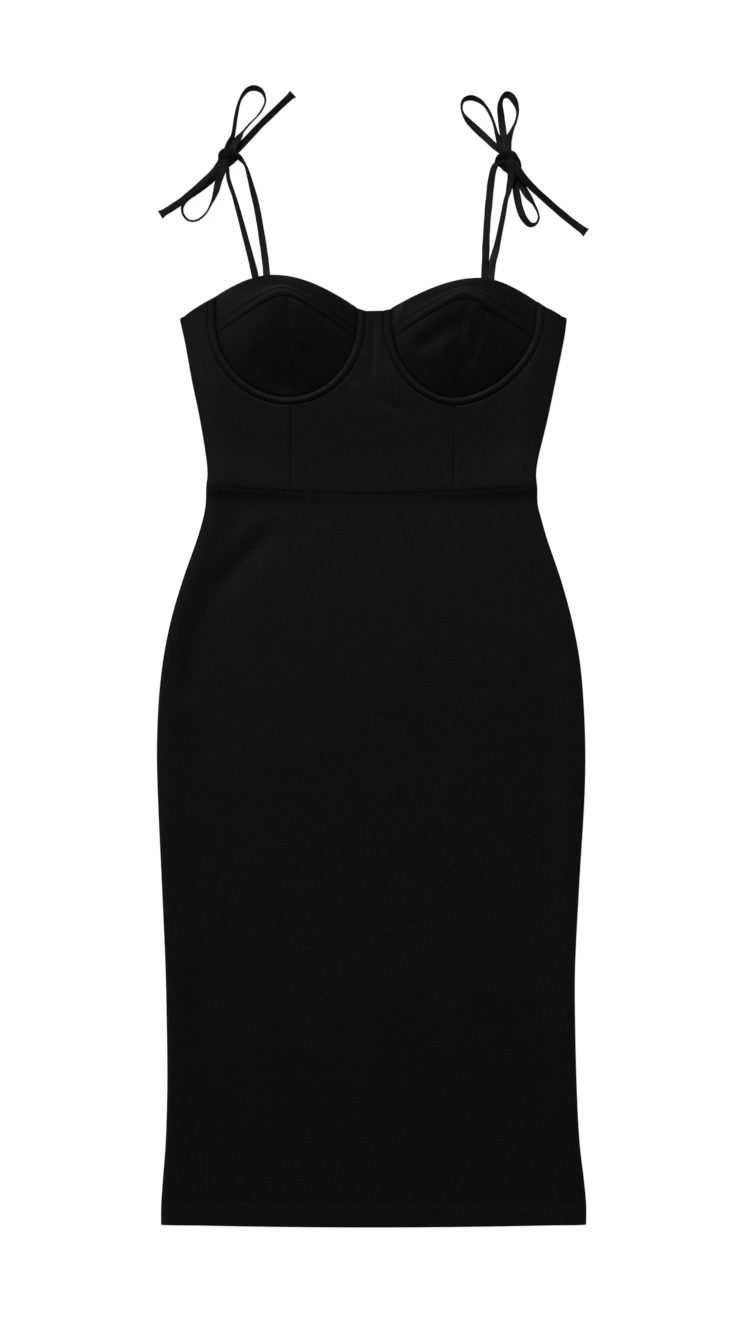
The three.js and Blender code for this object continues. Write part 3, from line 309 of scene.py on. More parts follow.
# A knot is the tapes wound round each other and pulled tight: a firm middle with turns of tape over it.
# Its knit is coloured darker than the tapes': painted shade, for the shade that falls between its tight
# turns. The turns are given as the tapes are, and end in the middle.
knot_painted_shade_dark, knot_painted_shade_light = (0.0050, 0.0048, 0.0049), (0.0170, 0.0163, 0.0166)
knot_painted_shade_finish = black_knit("knot_painted_shade_knit", knot_painted_shade_dark, knot_painted_shade_light, 0.2, 0.0019, 0.0009)
KNOTS = {
    "left": {
        "middle": (-0.1446, 0.5930, 0.0042), "half": (0.0090, 0.0088, 0.0042),
        "turns": [
            [(-0.1350, 0.5950, 0.0010, 0), (-0.1380, 0.5966, 0.0050, 0), (-0.1430, 0.5964, 0.0084, 0),
             (-0.1476, 0.5938, 0.0078, 4), (-0.1500, 0.5890, 0.0046, 4), (-0.1502, 0.5852, 0.0008, 0)],
            [(-0.1456, 0.5848, 0.0008, 0), (-0.1424, 0.5866, 0.0044, 0), (-0.1386, 0.5898, 0.0042, 0),
             (-0.1362, 0.5930, 0.0010, 0)],
        ],
    },
    "right": {
        "middle": (0.1366, 0.5856, 0.0046), "half": (0.0084, 0.0090, 0.0046),
        "turns": [
            [(0.1262, 0.5850, 0.0010, 0), (0.1276, 0.5906, 0.0048, 10), (0.1330, 0.5938, 0.0080, 8),
             (0.1392, 0.5930, 0.0088, 0), (0.1444, 0.5886, 0.0070, -6), (0.1462, 0.5820, 0.0034, -8),
             (0.1450, 0.5772, 0.0004, -8)],
            [(0.1290, 0.5862, 0.0008, 0), (0.1318, 0.5838, 0.0036, 10), (0.1354, 0.5808, 0.0048, 8),
             (0.1384, 0.5782, 0.0008, 0)],
            [(0.1372, 0.5962, 0.0020, 0), (0.1412, 0.5938, 0.0052, 8), (0.1436, 0.5866, 0.0058, 10),
             (0.1432, 0.5790, 0.0044, 6), (0.1424, 0.5750, 0.0004, 0)],
        ],
    },
}


def ball_form(middle, half):
    rounds, rows = 24, 12
    across, down = np.meshgrid(np.arange(rounds) / rounds * 2 * math.pi, np.linspace(0, math.pi, rows + 1))
    unit_ball = np.stack([np.cos(across) * np.sin(down), np.sin(across) * np.sin(down), np.cos(down)], -1)
    row, j = np.meshgrid(np.arange(rows) * rounds, np.arange(rounds), indexing="ij")
    following = (j + 1) % rounds
    quads = np.stack([row + j, row + rounds + j, row + rounds + following, row + following], -1)
    points = np.array(middle) + unit_ball * np.array(half)
    return points.reshape(-1, 3), quads.reshape(-1, 4).tolist(), points[..., :2].reshape(-1, 2)


for side, tapes in TAPES.items():
    knot = KNOTS[side]
    turns = [tape_form(rows)[:3] for rows in knot["turns"]]
    knot_name = f"tie_{side}_knot"
    knot_piece = make_piece(
        f"{knot_name}_wound", [ball_form(knot["middle"], knot["half"]), *turns], knot_painted_shade_finish
    )
    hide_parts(knot_name)
    for stretch, rows in tapes.items():
        is_strap, is_tail = stretch.endswith("strap"), stretch.endswith("tail")
        points, faces, flat, centre = tape_form(rows, flared=is_tail)
        tape = make_piece(f"tie_{side}_{stretch}_tape", [(points, faces, flat)], tape_finish)
        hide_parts(f"tie_{side}_{stretch}")

# The skirt's back: one panel of black double knit, cut from the waist seam to the hem.
# It lies face down on the surface, and turns up at both sides to the side seams.
MM = 0.001  # the tables of the cloth pieces are in millimetres
CLOTH = 1.2  # thickness of one layer
LAYER_GAP = 0.3
SEAM_BITE = 0.2  # how far two pieces run into each other where they are sewn
SEAM_GROOVE = 0.4  # half width of the fold right at a seam
SEAM_SOFT_SHARE = 0.35  # of a seam's dip that spreads wider than that fold
SIDE_SEAM_HEIGHT = 2.7
SIDE_ROUND = 3  # how far in from a side seam the cloth turns over
WAIST, WAIST_DIP, WAIST_HALF = 263, 7.5, 166
HEM, HEM_DIP, HEM_HALF = -474, 3, 214
BACK_WIDTH = 400  # about, for the mesh
STEP_GROWTH = 1.2  # from one step of a mesh to the next, going in from an edge
DEEPEST_BACK_CREASE = 0.7
CREASE_FADE_OUT, CREASE_FADE_IN = 0.3, 0.2  # shares of a crease's length past and before each of its ends
# Each row: place along the dress, its flattened width there, and how far its middle lies to the right
WIDTHS = [
    (-480, 424.9, 1.9), (-455, 425.0, 2.1), (-430, 421.1, 1.8), (-390, 413.6, 1.0), (-330, 409.1, 0.3),
    (-250, 408.5, -1.0), (-210, 410.1, -1.3), (-130, 417.8, -1.0), (-50, 426.3, -0.4), (0, 428.4, -0.5),
    (50, 424.6, -0.5), (90, 416.5, -0.2), (130, 400.9, -0.1), (170, 378.2, 0.3), (210, 350.5, 0.5),
    (230, 338.9, 0.6), (245, 332.2, 0.1), (263, 331.0, 0.1), (275, 328.7, 0.2), (290, 331.5, 0.6),
    (330, 347.5, 2.1), (370, 364.1, 2.2), (410, 379.5, 2.6), (430, 386.9, 1.8), (450, 393.0, 1.4),
]
# Each row: where a soft crease of the back starts and ends, its half width and its depth
BACK_CREASES = [
    (-150, 205, -60, 232, 7, 0.6), (20, 238, 150, 214, 8, 0.6), (-120, 176, -20, 190, 10, 0.5),
    (40, 160, 140, 176, 9, 0.4), (-170, 30, -150, -120, 12, 0.5), (165, 60, 176, -90, 11, 0.4),
    (-60, -260, 40, -250, 14, 0.3), (-90, 300, 10, 292, 6, 0.5), (30, 330, 140, 316, 7, 0.5),
    (-150, 380, -90, 340, 8, 0.5), (60, 396, 150, 372, 7, 0.4),
]
cloth_dark, cloth_light = (0.0018, 0.0017, 0.0017), (0.0092, 0.0087, 0.0088)
cloth_finish = black_knit("dress_knit", cloth_dark, cloth_light, 0.36, 0.0022, 0.0011)


def sides(y):
    rows = np.array(WIDTHS, float)
    found = smooth(rows[:, 0], rows[:, 1:], y)
    return found[..., 1] - found[..., 0] / 2, found[..., 1] + found[..., 0] / 2


def soft(value, low, high):
    t = np.clip((value - low) / (high - low), 0, 1)
    return t * t * (3 - 2 * t)


def crease_depth(x, y, creases):
    """How far the creases sink the cloth at each place; each dies away past both its ends."""
    depth = np.zeros(np.broadcast(x, y).shape)
    for from_x, from_y, to_x, to_y, width, deepest in creases:
        run_x, run_y = to_x - from_x, to_y - from_y
        t = ((x - from_x) * run_x + (y - from_y) * run_y) / (run_x**2 + run_y**2)
        away = np.hypot(x - from_x - t * run_x, y - from_y - t * run_y)
        fade = soft(t, -CREASE_FADE_OUT, CREASE_FADE_IN)
        fade = fade * (1 - soft(t, 1 - CREASE_FADE_IN, 1 + CREASE_FADE_OUT))
        depth += deepest * fade * np.exp(-((away / width) ** 2))
    return depth


def spacing(length, fine, coarse):
    """Shares of a length for a mesh: fine steps at both ends of it, and coarse ones in its middle."""
    steps, step = [0.0], fine
    while steps[-1] < length / 2:
        steps.append(steps[-1] + step)
        step = min(step * STEP_GROWTH, coarse)
    half = np.array(steps) * (length / 2) / steps[-1]
    return np.concatenate([half, length - half[-2::-1]]) / length


def from_edges(places, edges):
    """Distance along the cloth from the nearest of the named edges: left, right, low or top."""
    apart = [np.linalg.norm(np.diff(places, axis=axis), axis=-1) for axis in (1, 0)]
    across = np.concatenate([0 * apart[0][:, :1], np.cumsum(apart[0], axis=1)], axis=1)
    along = np.concatenate([0 * apart[1][:1], np.cumsum(apart[1], axis=0)], axis=0)
    distances = {"left": across, "right": across[:, -1:] - across, "low": along, "top": along[-1:] - along}
    return np.minimum.reduce([distances[edge] for edge in edges])


def sewn_dip(places, edges, depth=1.0, reach=2.2):
    """A seam draws the cloth in beside it, a little unevenly, and most of all at the seam itself."""
    wander = (places[..., 0] + places[..., 1]) * 0.7
    uneven = 1 + 0.2 * np.sin(wander / 3.1) * np.sin(wander / 1.7 + 1)
    away = from_edges(places, edges)
    spread = SEAM_SOFT_SHARE * np.exp(-((away / reach) ** 2))
    return depth * uneven * (spread + (1 - SEAM_SOFT_SHARE) * np.exp(-((away / SEAM_GROOVE) ** 2)))


def cloth_form(places, sink):
    """A wall of cloth under a grid of places on its face, which is sunk; its reverse isn't."""
    rows, columns = places.shape[:2]
    outward = unit(np.cross(np.gradient(places, axis=1), np.gradient(places, axis=0)))
    both = [places - np.stack([0 * sink, 0 * sink, sink], -1), places - outward * CLOTH]
    points = np.concatenate([side.reshape(-1, 3) for side in both]) * MM
    index = np.arange(rows * columns).reshape(rows, columns)
    inner = index + rows * columns
    quad = lambda a, b, c, d: np.stack([a, b, c, d], -1).reshape(-1, 4)
    quads = [
        quad(index[:-1, :-1], index[:-1, 1:], index[1:, 1:], index[1:, :-1]),
        quad(inner[:-1, :-1], inner[1:, :-1], inner[1:, 1:], inner[:-1, 1:]),
        quad(inner[0, :-1], inner[0, 1:], index[0, 1:], index[0, :-1]),
        quad(index[-1, :-1], index[-1, 1:], inner[-1, 1:], inner[-1, :-1]),
        quad(inner[1:, 0], inner[:-1, 0], index[:-1, 0], index[1:, 0]),
        quad(index[1:, -1], index[:-1, -1], inner[:-1, -1], inner[1:, -1]),
    ]
    flat = np.tile(places[..., :2].reshape(-1, 2), (2, 1)) * MM
    return points, np.concatenate(quads).tolist(), flat


def make_cloth(name, places, sink):
    """A panel of the dress, made in place of its solid of the same name, which it hides."""
    panel = make_piece(f"{name}_cloth", [cloth_form(places, sink)], cloth_finish)
    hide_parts(name)


def waist_seam(x):
    return WAIST - WAIST_DIP * (1 - np.minimum(1, np.abs(x) / WAIST_HALF) ** 1.4)


def hem_edge(x):
    return HEM - HEM_DIP * (1 - np.minimum(1, np.abs(x) / HEM_HALF) ** 2)


def turned_at_sides(x, y, flat_height, edge_height):
    """A panel's face at its own height, turned round to meet the side seams at the height of their edge."""
    left, right = sides(y)
    near_left = x - left < right - x
    from_side = np.maximum(0, np.where(near_left, x - left, right - x))
    turn = np.clip(from_side / SIDE_ROUND, 0, 1) * math.pi / 2
    inward = SIDE_ROUND * (1 - np.cos(turn))
    seam_x = np.where(near_left, left + inward, right - inward)
    height = edge_height + (flat_height - edge_height) * np.sin(turn)
    return np.stack([np.where(from_side < SIDE_ROUND, seam_x, x), y, height], -1)


def back_panel(name, low, top, coarse):
    """A panel of the back, from its low edge, which is given for each place across, to its straight top.

    Its outer face lies underneath, so creases and seams lift it.
    """
    across = spacing(BACK_WIDTH, fine=0.5, coarse=coarse)
    u, v = np.meshgrid(across, spacing(top - low(0), fine=0.6, coarse=coarse))
    left, right = sides(mix(low(0), top, v))
    y = mix(low(mix(right, left, u)), top, v)
    left, right = sides(y)
    places = turned_at_sides(mix(right, left, u), y, 0, SIDE_SEAM_HEIGHT + SEAM_BITE / 2)
    creases = np.minimum(crease_depth(places[..., 0], y, BACK_CREASES), DEEPEST_BACK_CREASE)
    make_cloth(name, places, -creases - sewn_dip(places, ["low", "top"], 0.3, 1.5))


back_panel("skirt_back", hem_edge, WAIST + SEAM_BITE / 2, 7)

# The skirt's front: one panel of the same knit, which lies on the back and springs up at both sides.
# Its hem is turned up 20 mm and held by two rows of stitches, and its waist is seamed to the bodice.
REST_HEIGHT = 2 * CLOTH + LAYER_GAP
SKIRT_WIDTH, SKIRT_LENGTH = 425, 730  # about, for the mesh
BUST_LIFT, BUST_LIFT_SIDE = 6.6, 30  # it falls away over this width beside the side seams
BUST_LIFT_START, BUST_LIFT_END = -18, 135  # over the waist
HIP_EASE, HIP_EASE_START, HIP_EASE_END = 2.2, -330, -60  # over the waist
SIDE_ROLL, SIDE_ROLL_CREST, SIDE_ROLL_REACH = 2.8, 10, 17
WAIST_BULK = 2.2  # how far the turned edges in the waist seam hold it up at both ends
WAIST_BULK_MIDDLE = 0.3  # the share of that in the middle
WAIST_BULK_GROWS = (50, 130)  # from the middle, where it grows
WAIST_FALLS = (8, 30)  # how soon it falls away, on the skirt and on the bodice
DEEPEST_DENT = 0.7  # how far a crease may thin the wall where the front lies on the back
DEEPEST_SINK = 0.9  # and a crease and a seam together
HEM_DEPTH, HEM_SWELL, HEM_STEP = 20, 0.4, (-4, 3)  # the step is where its upper edge shows
HEM_LIFT = 1.4  # how far the turned-up hem stands up at its edge
HEM_ROWS, HEM_ROW_ENDS = (19, 13.5), 5  # rows of stitches over the hem edge, and short of the side seams
THREAD_LIFT, THREAD_SIDES = 0.05, 6
# Each row: where a soft crease of the front starts and ends, its half width and its depth. One that is
# less than 0 deep is a ridge.
CREASES = [
    (-103, 217, -151, 164, 13, 1.3), (-116, 226, -164, 174, 10, -0.7), (-166, 158, -187, 60, 13, 0.8),
    (1.6, 424, 1.0, 378, 3.2, 1.4), (12.6, 420, 13.6, 388, 3, 0.6), (-24, 376, -17, 366, 4, 0.6),
    (10, 352, 30, 338, 5, 0.7), (-112, 393, -85, 354, 11, 2.0), (-67, 398, -69, 356, 7, 0.8),
    (-77, 446, -70, 402, 6, -0.8), (86, 426, 48, 402, 9, 2.2), (90, 418, 52, 394, 13, 0.7),
    (80, 430, 73, 396, 6, -0.8), (114, 440, 94, 380, 6, 2.2), (124, 432, 106, 386, 13, 1.0),
    (102, 440, 90, 392, 4, -1.0), (33, 446, 25, 427, 3, 1.3),
]


def raised_front(x, y):
    """Height of the front's face before it is held up by the back under it."""
    left, right = sides(y)
    from_side = np.maximum(0, np.minimum(x - left, right - x))
    bust = BUST_LIFT * soft(y - WAIST, BUST_LIFT_START, BUST_LIFT_END) * soft(from_side, 0, BUST_LIFT_SIDE)
    hips = HIP_EASE * soft(y - WAIST, HIP_EASE_START, HIP_EASE_END)
    roll = SIDE_ROLL * np.exp(-(((from_side - SIDE_ROLL_CREST) / SIDE_ROLL_REACH) ** 2))
    from_seam, at_ends = y - waist_seam(x), soft(np.abs(x), *WAIST_BULK_GROWS)
    fall = np.where(from_seam < 0, *WAIST_FALLS)
    bulk = WAIST_BULK * mix(WAIST_BULK_MIDDLE, 1, at_ends) * np.exp(-((from_seam / fall) ** 2))
    hem = HEM_SWELL * (1 - soft(y - HEM - HEM_DEPTH, *HEM_STEP))
    hem = hem + HEM_LIFT * np.clip(1 - (y - HEM) / HEM_DEPTH, 0, 1)
    return REST_HEIGHT + bust + hips + roll + bulk + hem - crease_depth(x, y, CREASES)


def front_height(x, y):
    return np.maximum(REST_HEIGHT, raised_front(x, y))


def dent(x, y):
    return np.clip(REST_HEIGHT - raised_front(x, y), 0, DEEPEST_DENT)


def on_front(x, y):
    return turned_at_sides(x, y, front_height(x, y), SIDE_SEAM_HEIGHT - SEAM_BITE / 2)


across = spacing(SKIRT_WIDTH, fine=0.5, coarse=3.6)
u, v = np.meshgrid(across, spacing(SKIRT_LENGTH, fine=0.25, coarse=3.6))
left, right = sides(mix(HEM, WAIST, v))
x = mix(left, right, u)
y = mix(hem_edge(x), waist_seam(x) + SEAM_BITE / 2, v)
left, right = sides(y)
places = on_front(mix(left, right, u), y)
sink = dent(places[..., 0], y) + sewn_dip(places, ["left", "right"], 0.3)
sink += sewn_dip(places, ["low"], 0.3, 0.8)
make_cloth("skirt_front", places, np.minimum(sink, DEEPEST_SINK))


def stitch_forms(line, pitch=2.9, length=2.2, thickness=0.5):
    """A row of single stitches along a line of places: small spindles of thread that lie on the cloth."""
    line = line * MM
    places = np.concatenate([[0], np.cumsum(np.linalg.norm(np.diff(line, axis=0), axis=1))])
    count = int(places[-1] / (pitch * MM))
    middles = (np.arange(count) + 0.5) * places[-1] / count
    half = length * MM / 2
    ends = [smooth(places, line, middles + side * half) for side in (-1, 1)]
    angle = np.arange(THREAD_SIDES) / THREAD_SIDES * 2 * math.pi
    around = [(1 + j, 1 + (j + 1) % THREAD_SIDES) for j in range(THREAD_SIDES)]
    tip = 1 + 2 * THREAD_SIDES
    faces = [[0, k, j] for j, k in around]
    faces += [[tip, j + THREAD_SIDES, k + THREAD_SIDES] for j, k in around]
    faces += [[j, k, k + THREAD_SIDES, j + THREAD_SIDES] for j, k in around]
    forms = []
    for start, stop in zip(*ends):
        ahead = unit(stop - start)
        aside = unit(np.cross([0, 0, 1.0], ahead))
        up = np.cross(ahead, aside)
        ring = (np.cos(angle)[:, None] * aside + np.sin(angle)[:, None] * up) * thickness * MM / 2
        rings = [mix(start, stop, share) + ring for share in (0.2, 0.8)]
        points = np.concatenate([[start], *rings, [stop]])
        forms.append((points, faces, points[:, :2]))
    return forms


thread_dark, thread_light = (0.009, 0.0087, 0.0088), (0.026, 0.0252, 0.0256)
thread_finish = black_knit("black_thread", thread_dark, thread_light, 0.2, 0.0009, 0.0004)
hem_rows = []
for row in HEM_ROWS:
    left, right = sides(HEM + row)
    x = np.linspace(left + HEM_ROW_ENDS, right - HEM_ROW_ENDS, 200)
    y = hem_edge(x) + row
    hem_rows += stitch_forms(np.stack([x, y, front_height(x, y) + THREAD_LIFT], -1))
make_piece("hem_stitches", hem_rows, thread_finish)

# The back of the bodice: one panel with a straight top edge, hidden under the front.
# It is seamed to the skirt's back at the waist, and the back straps are sewn inside its top.
BACK_TOP = 422
back_panel("bodice_back", lambda x: WAIST - SEAM_BITE / 2 + 0 * x, BACK_TOP, 4)

# The wire channels: a narrow casing of the knit round the foot of each cup, stitched down along both edges.
# The wire inside makes it stand up, and it puckers a little along its stitches.
CHANNEL_WIDTH = 8.3
CHANNEL_LENGTH = 262  # about, for the mesh and the puckers
CHANNEL_SWELL = 1.7
CHANNEL_FOOT_SHARE = 0.92  # of its width, at the foot of a cup
EDGE_LINES = (3, -4)  # the lines of a narrow strip's mesh that its stitches follow
ARM_SHARE = 0.08  # of a channel's length, for each straight top end
# A channel's outer edge is two superellipse quarters and two arms. Each arm: its reach, fullness, top,
# the slant of its cut end, and its lean.
# A band's edges and the neckline are arches: peak, height, and the slope and round on its left and right.
CUPS = {
    "left": {
        "bottom": -82.6, "level": 428, "depth": 83,
        "seam_foot": 0.52, "seam_head": -84.4, "princess_foot": -80.3, "princess_head": 0.506,
        "left_arm": (81, 2.0, 448, 0.5, 0), "right_arm": (76, 2.0, 438, 0.3, 0.8),
        "band_low": (-87.0, 450.4, 0.63, 12, 0.66, 12), "band_top": (-89.4, 458.6, 0.61, 12, 0.62, 13),
        "neckline": (-98, 474, 0.95, 62, 1, 90),
    },
    "right": {
        "bottom": 82.9, "level": 428, "depth": 84,
        "seam_foot": 0.492, "seam_head": 92.9, "princess_foot": 81.6, "princess_head": 0.5,
        "left_arm": (71.5, 1.92, 438.3, 0.2, 0), "right_arm": (88.5, 1.75, 442, 0.62, 2),
        "band_low": (92.4, 447.3, 0.62, 13, 0.65, 13), "band_top": (93.4, 457.5, 0.59, 13, 0.6, 13),
        "neckline": (107, 471, 0.75, 75, 0.9, 50),
    },
}


def channel_edge(cup, t, inset):
    """Places on an edge of a channel: t runs from 0, at the top of its left arm, to 1 on its right."""
    t = np.asarray(t, float)
    on_left = t < 0.5
    arms = zip(cup["left_arm"], cup["right_arm"])
    reach, fullness, top, slant, lean = (np.where(on_left, *pair) for pair in arms)
    from_end = np.where(on_left, t, 1 - t)
    outward = np.where(on_left, -1, 1)
    depth = cup["depth"] - inset * CHANNEL_FOOT_SHARE
    up = np.maximum(0, 1 - from_end / ARM_SHARE)
    angle = np.clip((from_end - ARM_SHARE) / (0.5 - ARM_SHARE), 0, 1) * math.pi / 2
    x = cup["bottom"] + outward * ((reach - inset) * np.cos(angle) ** (2 / fullness) + lean * up)
    y = mix(cup["level"], top + inset * slant, up) - depth * np.sin(angle) ** (2 / fullness)
    return x, y


channel_rows = []
for side, cup in CUPS.items():
    across = spacing(CHANNEL_WIDTH, fine=0.35, coarse=0.8)
    u, v = np.meshgrid(across, spacing(CHANNEL_LENGTH, fine=0.5, coarse=1.4))
    inner_edge = channel_edge(cup, v, CHANNEL_WIDTH + SEAM_BITE / 2)
    outer_edge = channel_edge(cup, v, -SEAM_BITE / 2)
    x, y = (mix(*edges, u) for edges in zip(inner_edge, outer_edge))
    run = v * CHANNEL_LENGTH
    puckers = 1 + 0.05 * np.sin(run / 1.1) * np.sin(run / 2.7) + 0.04 * np.sin(run / 6.1)
    swell = CHANNEL_SWELL * np.sin(math.pi * u) ** 0.7 * puckers
    places = np.stack([x, y, front_height(x, y) + swell], -1)
    sink = sewn_dip(places, ["left", "right"], 0.3, 0.7) + sewn_dip(places, ["low", "top"], 0.4, 0.8)
    make_cloth(f"cup_channel_{side}", places, sink)
    for edge_column in EDGE_LINES:
        channel_rows += stitch_forms(places[:, edge_column])
make_piece("channel_stitches", channel_rows, thread_finish)

# The bodice front: a centre front with the gore cut in one with it, and a side front on either side.
# Their princess seams run up to the channels, and their upper edges are turned under and edge stitched.
PRINCESS_SHARE = 4 / 21  # of the length of those edges, from the waist to the channel
PRINCESS_BITE = 0.0004  # of a channel's length, where two pieces meet at the head of a princess seam
BUST_CORNER = 432  # top of the side seams
CORNER_ROUND = 4
EDGE_STITCH, EDGE_STITCH_ENDS = 3, 2  # how far the row lies under a turned edge, and short of its ends
PRINCESS_LENGTH, BESIDE_LENGTH, CENTRE_WIDTH, SIDE_WIDTH = 90, 120, 160, 95  # about, for the mesh
BOW_SHARE = 0.3  # of a piece's length, over which its lower edge's bow dies away


def bodice_edge(cup, to_left, v):
    """Places up a princess seam and then up the outside of a channel."""
    outward = -1 if to_left else 1
    foot_x = cup["princess_foot"]
    foot = (foot_x + outward * -SEAM_BITE / 2, waist_seam(foot_x) - SEAM_BITE / 2)
    turn = cup["princess_head"] + outward * -PRINCESS_BITE
    head = channel_edge(cup, turn, SEAM_BITE / 2)
    past = np.clip((v - PRINCESS_SHARE) / (1 - PRINCESS_SHARE), 0, 1)
    beside = channel_edge(cup, mix(turn, 0 if to_left else 1, past), SEAM_BITE / 2)
    under = [mix(foot[i], head[i], v / PRINCESS_SHARE) for i in (0, 1)]
    return [np.where(v < PRINCESS_SHARE, under[i], beside[i]) for i in (0, 1)]


def waist_bow(x, y, v):
    """Bends a piece's straight lower edge, which runs through x and y, to the waist seam."""
    return (waist_seam(x) - SEAM_BITE / 2 - y) * (1 - soft(v, 0, BOW_SHARE))


def edge_stitches(places):
    """A row of stitches just under the top edge of a panel."""
    line = places[-1] + unit(places[-3] - places[-1]) * EDGE_STITCH
    inside = line[(from_edges(line[None], ["left", "right"]) > EDGE_STITCH_ENDS)[0]]
    height = front_height(inside[:, 0], inside[:, 1]) + THREAD_LIFT
    return stitch_forms(np.column_stack([inside[:, :2], height]))


princess_places = PRINCESS_SHARE * spacing(PRINCESS_LENGTH, fine=0.25, coarse=2)
channel_places = mix(PRINCESS_SHARE, 1, spacing(BESIDE_LENGTH, fine=0.6, coarse=1.6))
along = np.concatenate([princess_places, channel_places[1:]])

u, v = np.meshgrid(spacing(CENTRE_WIDTH, fine=0.2, coarse=1.8), along)
left_edge, right_edge = bodice_edge(CUPS["left"], False, v), bodice_edge(CUPS["right"], True, v)
feet = [mix(part[0], other[0], u) for part, other in zip(left_edge, right_edge)]
x, y = (mix(*edges, u) for edges in zip(left_edge, right_edge))
places = on_front(x, y + waist_bow(*feet, v))
sink = sewn_dip(places, ["left", "right", "low"]) + sewn_dip(places, ["top"], 0.5, 0.8)
make_cloth("bodice_centre_front", places, sink)
edge_rows = edge_stitches(places)

for side, cup in CUPS.items():
    is_left = side == "left"
    u, v = np.meshgrid(spacing(SIDE_WIDTH, fine=0.2, coarse=1.8), along)
    inner = bodice_edge(cup, is_left, v)
    outer_y = mix(WAIST - SEAM_BITE / 2, BUST_CORNER, v)
    outer = [sides(outer_y)[0 if is_left else 1], outer_y]
    feet = [mix(part[0], other[0], u) for part, other in zip(outer, inner)]
    x, y = (mix(*edges, u) for edges in zip(outer, inner))
    y = y + waist_bow(*feet, v)
    near_top = np.clip(1 - (BUST_CORNER - y) / CORNER_ROUND, 0, 1)
    rounding = CORNER_ROUND * (1 - np.sqrt(1 - near_top**2)) * (1 if is_left else -1)
    x = x + (sides(y)[0 if is_left else 1] - outer[0] + rounding) * (1 - u) ** 2
    places = on_front(x, y)
    places = places if is_left else places[:, ::-1]
    sink = sewn_dip(places, ["right" if is_left else "left", "low"]) + sewn_dip(places, ["top"], 0.5, 0.8)
    sink += sewn_dip(places, ["left" if is_left else "right"], 0.3)
    make_cloth(f"bodice_side_front_{side}", places, sink)
    edge_rows += edge_stitches(places)
make_piece("edge_stitches", edge_rows, thread_finish)

# The cups: two lower halves joined by an upright seam, a narrow band across, and an upper piece.
# They are cut from the same knit, fill out a little under their own weight, and are empty inside.
CUP_HEIGHT = 35  # crest of a cup over the surface
CUP_EDGE_HEIGHT = 13  # its neckline edge there
CREST_POWER = 0.85  # under 1, the crest runs nearly level and falls away near its ends
LOWER_FULLNESS = 0.7
BAND_SWELL, BAND_TILT = 1.0, 0.4
CUP_WIDTH, HALF_WIDTH, LOWER_LENGTH, BAND_WIDTH, UPPER_LENGTH = 140, 72, 90, 9, 30  # about, for the mesh
TRIM = -SEAM_BITE / 2
FOOT_START = 2  # how far under both ends of its band a cup's foot starts
HALVINGS, WALKS = 30, 12  # steps in finding where a cup's edges meet the channel
NARROWEST_SHARE = 0.45  # of a cup's width, for the narrower of its lower halves
band_rows = []


def channel_at_height(cup, y, inset, on_left):
    high, low = (0.0, 0.5) if on_left else (1.0, 0.5)
    for _ in range(HALVINGS):
        middle = (high + low) / 2
        above = channel_edge(cup, middle, inset)[1] > y
        high, low = (middle, low) if above else (high, middle)
    return (high + low) / 2


def arch_height(arch, x):
    peak, height, slope_left, round_left, slope_right, round_right = arch
    slope = np.where(x < peak, slope_left, slope_right)
    rounding = np.where(x < peak, round_left, round_right)
    return height - slope * (np.hypot(x - peak, rounding) - rounding)


def arch_ends(cup, arch):
    """Where an arch meets the channel's inner edge, found by walking there."""
    ends = []
    for on_left, inward in ((True, TRIM), (False, -TRIM)):
        x = channel_edge(cup, 0 if on_left else 1, CHANNEL_WIDTH)[0]
        for _ in range(WALKS):
            t = channel_at_height(cup, arch_height(arch, x), CHANNEL_WIDTH, on_left)
            x = channel_edge(cup, t, CHANNEL_WIDTH)[0]
        ends.append(x + inward)
    return ends


